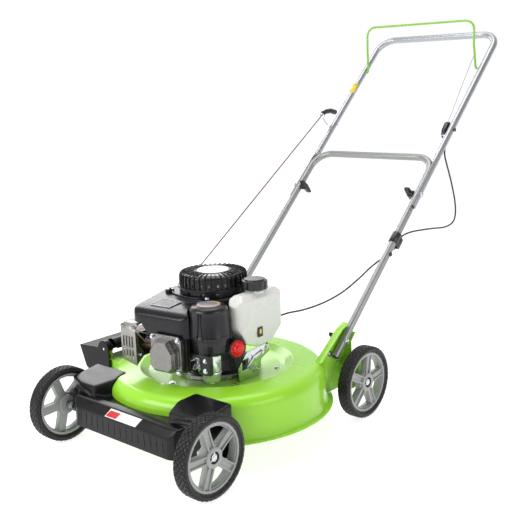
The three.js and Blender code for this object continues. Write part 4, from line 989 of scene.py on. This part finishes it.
def make_carburettor():
    keep("carburettor", BRIGHT, bevel=0.8)
    bowl = [(0, 178.2), (5.6, 178.2), (5.6, 182.4), (14, 184.6)]
    bowl += arc_points(14, 194, 9.4, -80, 0, 8)
    bowl += [(23.6, 206), (24.2, 208), (25.8, 208.4), (26, 209.4), (26, 211), (25.4, 212.1), (0, 212.1)]
    lathe("float_bowl_cup", bowl, BRIGHT, "chassis", INTAKE, 96, replaces=("float_bowl",), crease=28,
          slot="machined_alloy")
    parts = [
        hex_head(5.4, 5, (0, 0, 182.2), (0, 0, -1)),
        hex_head(4.2, 5, (-12, -24.5, 250), FORWARD),
        hex_head(4.2, 5, (12, -24.5, 224), FORWARD),
        hex_head(4.8, 6, (-29, -26.5, 252), FORWARD),
        hex_head(4.8, 6, (-29, -26.5, 228), FORWARD),
        spring((-8, -27, 236), (14, -27, 243), 3.2, 0.55, 9),
        spring((-46, -32, 240), (-20, -38, 252), 2.6, 0.5, 11),
    ]
    for link in ([(-52, -30, 236), (-30, -34, 262), (-6, -34, 262), (2, -30, 252)],
                 [(-50, -36, 214), (-34, -36, 214), (-30, -30, 236), (-10, -30, 230)]):
        parts.append(swept(rounded_route(link, 5, 6), 1.1, 8))
    for half, spot, tilt in ((9, (-2, -30, 254), 0.5), (12, (-20, -33, 230), -0.7)):
        lever = box((-half, half), (-1.2, 1.2), (-4, 4))
        parts.append(moved(lever, slide(*spot) @ rotate(tilt, "Y")))
    for profile, spot in (([(0, 0), (7, 0), (7, 3), (3, 3), (3, 9), (0, 9)], (-4, -24, 254)),
                          ([(0, 0), (5, 0), (5, 9), (4, 10), (0, 10)], (8, -24, 232))):
        parts.append(moved(turned(profile, 20), slide(*spot) @ rotate(pi / 2, "X")))
    make("carburettor_linkage", parts, BRIGHT, "chassis", INTAKE)
    screws = [hex_head(4.8, 5, (18, -46.3, 228), FORWARD), hex_head(4, 5, (18, -46.3, 254), FORWARD)]
    make("filter_bracket_screws", screws, ZINC, "chassis", INTAKE)


def make_primer():
    place = INTAKE @ slide(61, 31, 271.5) @ rotate(radians(-19.5)) @ rotate(pi / 2, "Y")
    bulb = [(0, -2.8), (20.8, -2.8), (20.8, 1.8), (20, 3), (18.6, 3.4)]
    bulb += [*arc_points(0, -1.5, 16.6, 12, 78, 12), (3, 14.0), (0, 13.9)]
    lathe("primer_dome", bulb, BULB, "primer", place, 72, replaces=("primer_bulb",), crease=40)
    collar = [(21.6, -6), (25.2, -6), (25.2, 0.6), (24.4, 1.6), (22.4, 1.6), (21.6, 0.6), (21.6, -6)]
    lathe("primer_collar", collar, FILTER, "chassis", place, 72, crease=30)


# ---- brake, rope and cables
def make_brake():
    keep("brake_bracket", ZINC, bevel=0.5)
    keep("brake_lever", ZINC, bevel=0.5)
    parts = [hex_head(5.5, 5, (140.2, 32, 232), OUTWARD), hex_head(4.6, 4, (140.2, 52, 240), OUTWARD),
             hex_head(4.4, 4, (140.2, 4, 190), OUTWARD),
             spring((143, -22, 206), (143, 16, 190), 3.6, 0.6, 12)]
    make("brake_hardware", parts, ZINC, "chassis")


def make_drive():
    looks = {"starter_pulley": KNOB, "flywheel": CAST, "crankshaft": STEEL, "blade_adapter": STEEL,
             "blade": BLADE, "blade_bolt": ZINC}
    for node, look in looks.items():
        keep(node, look)


def on_handle(*points):
    """Points in the handle's frame, in the machine's frame."""
    return [HANDLE_TURN @ Vector(p) for p in points]


def bending(name, node, route, radius, look, start, end, sides=12):
    """A cord that reaches from one body to another along its route and rides neither; start and end are not
    used.
    """
    cord = rod(name, route, radius, look, None, sides=sides, crease=60)
    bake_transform(cord)
    if node:
        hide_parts(node)


def make_cables():
    upper = on_handle((212.5, 757, 4), (221, 742, -18), (236, 699, -24), (242, 667, -98), (242, 641, -165),
                      (240, 616, -205), (239, 588, -213), (238, 548, -187), (237, 491, -123), (232, 433, -62),
                      (228, 400, -34), (226, 376, -23), (225.8, 338, -21))
    lower = [(200, 454, 389), (196, 394, 364), (190, 321, 338), (178, 251, 322), (158, 190, 313),
             (132, 150, 308), (106, 130, 294), (98, 112, 266), (112, 84, 245), (130, 66, 237),
             (130, 55.6, 236)]
    route = smooth_route([*upper, *[Vector(p) for p in lower]], 12)
    bending("brake_cable_sheath", "brake_cable", route, 2.6, CABLE, upper[-2], upper[0])
    wire = on_handle((212.5, 815, 9.5), (213, 840, 13), (212, 920, 24), (210.5, 1000, 34), (210, 1066, 42))
    bending("brake_wire", "brake_inner_wire", smooth_route(wire, 12), 0.9, WIRE,
            wire[0], wire[-1], 8)
    outlet = Vector((-87, 10, 409))
    eye, grip = on_handle((-252, 797, 51), (-250, 803, 52))
    rope = with_steps([Vector((-50, -22, 405)), outlet, eye], 14)
    bending("starter_rope_run", "starter_rope", rope, 1.75, ROPE, outlet, eye)
    tail = with_steps([eye, grip], 0.5)
    bending("starter_rope_tail", None, tail, 1.75, ROPE, eye, grip)
    loop = [Vector((x, 797, z)) for x, z in arc_points(-252, 51, 8.5, -90, 225, 40)]
    stem = [(-212, 800, 0), (-246, 800, 0), (-257, 799, 4), (-258.5, 798, 14), (-256, 797, 36)]
    guide = smooth_route(stem, 8) + loop
    rod("rope_eye", guide, 2.5, ZINC, "upper_frame", HANDLE, 14, replaces=("rope_guide",), crease=60)
    moulded("starter_grip", "pull_grip", KNOB, "grip", voxel=0.8, rounds=5)


# ---- floor and light
FLOOR_HALF = 30
LIT_FROM = (-0.66, 0.74, 0.12)
LAMPS = (
    ("key", (-900, -2900, 1900), (0, 0, 200), 2.4, 76),
    ("fill", (2700, 300, 1500), (0, 0, 300), 1.8, 20),
    ("top", (-300, 200, 2900), (0, 100, 200), 2.6, 44),
    ("rim", (-2400, 1500, 1700), (0, 0, 400), 1.8, 26),
)


def make_floor():
    mesh = bpy.data.meshes.new("floor")
    corners = [(x * FLOOR_HALF, y * FLOOR_HALF, 0) for x, y in ((-1, -1), (1, -1), (1, 1), (-1, 1))]
    mesh.from_pydata(corners, [], [(0, 1, 2, 3)])
    look = bpy.data.materials.new("floor")
    look.use_nodes = True
    shader = look.node_tree.nodes["Principled BSDF"]
    shader.inputs["Base Color"].default_value = (0.5, 0.5, 0.5, 1)
    shader.inputs["Roughness"].default_value = 0.9
    shader.inputs["Specular IOR Level"].default_value = 0.1
    shader.inputs["Emission Color"].default_value = (1, 1, 1, 1)
    shader.inputs["Emission Strength"].default_value = 0.8
    mesh.materials.append(look)
    placed("floor", mesh)


def make_world():
    """A studio that is bright on one side, darker on the other and pale at the horizon."""
    world = bpy.data.worlds.new("studio")
    world.use_nodes = True
    tree = world.node_tree
    link = tree.links.new
    sky = tree.nodes["Background"]
    sky.inputs["Strength"].default_value = 1.0
    direction = tree.nodes.new("ShaderNodeTexCoord").outputs["Generated"]
    facing = tree.nodes.new("ShaderNodeVectorMath")
    facing.operation = "DOT_PRODUCT"
    facing.inputs[1].default_value = LIT_FROM
    link(direction, facing.inputs[0])
    height = tree.nodes.new("ShaderNodeSeparateXYZ")
    link(direction, height.inputs[0])
    level = tree.nodes.new("ShaderNodeMath")
    level.operation = "MAXIMUM"
    link(remapped(tree, facing.outputs["Value"], (0.0, 0.75), 0.16, 1.0), level.inputs[0])
    link(remapped(tree, height.outputs["Z"], (0.14, 0.3), 1.0, 0.0), level.inputs[1])
    link(level.outputs["Value"], sky.inputs["Color"])
    SCENE.world = world


def make_lamps():
    for name, spot, aim, size, power in LAMPS:
        data = bpy.data.lights.new(name, "AREA")
        data.shape = "RECTANGLE"
        data.size = size
        data.size_y = size * 0.6
        data.energy = power
        lamp = placed(name, data)
        lamp.location = mm(*spot)
        lamp.rotation_euler = (mm(*aim) - mm(*spot)).to_track_quat("-Z", "Y").to_euler()


# ---- the whole scene
for build in (
    make_camera, make_deck, make_carrier, make_brackets, make_wheels, make_flap, make_handles, make_end_plugs,
    make_bail, make_fasteners, make_cable_parts, make_castings, make_exhaust, make_shroud, make_recoil,
    make_tank, make_filter, make_carburettor, make_primer, make_brake, make_drive, make_cables,
    make_floor, make_world, make_lamps,
):
    build()
SCENE.view_settings.view_transform = "Standard"
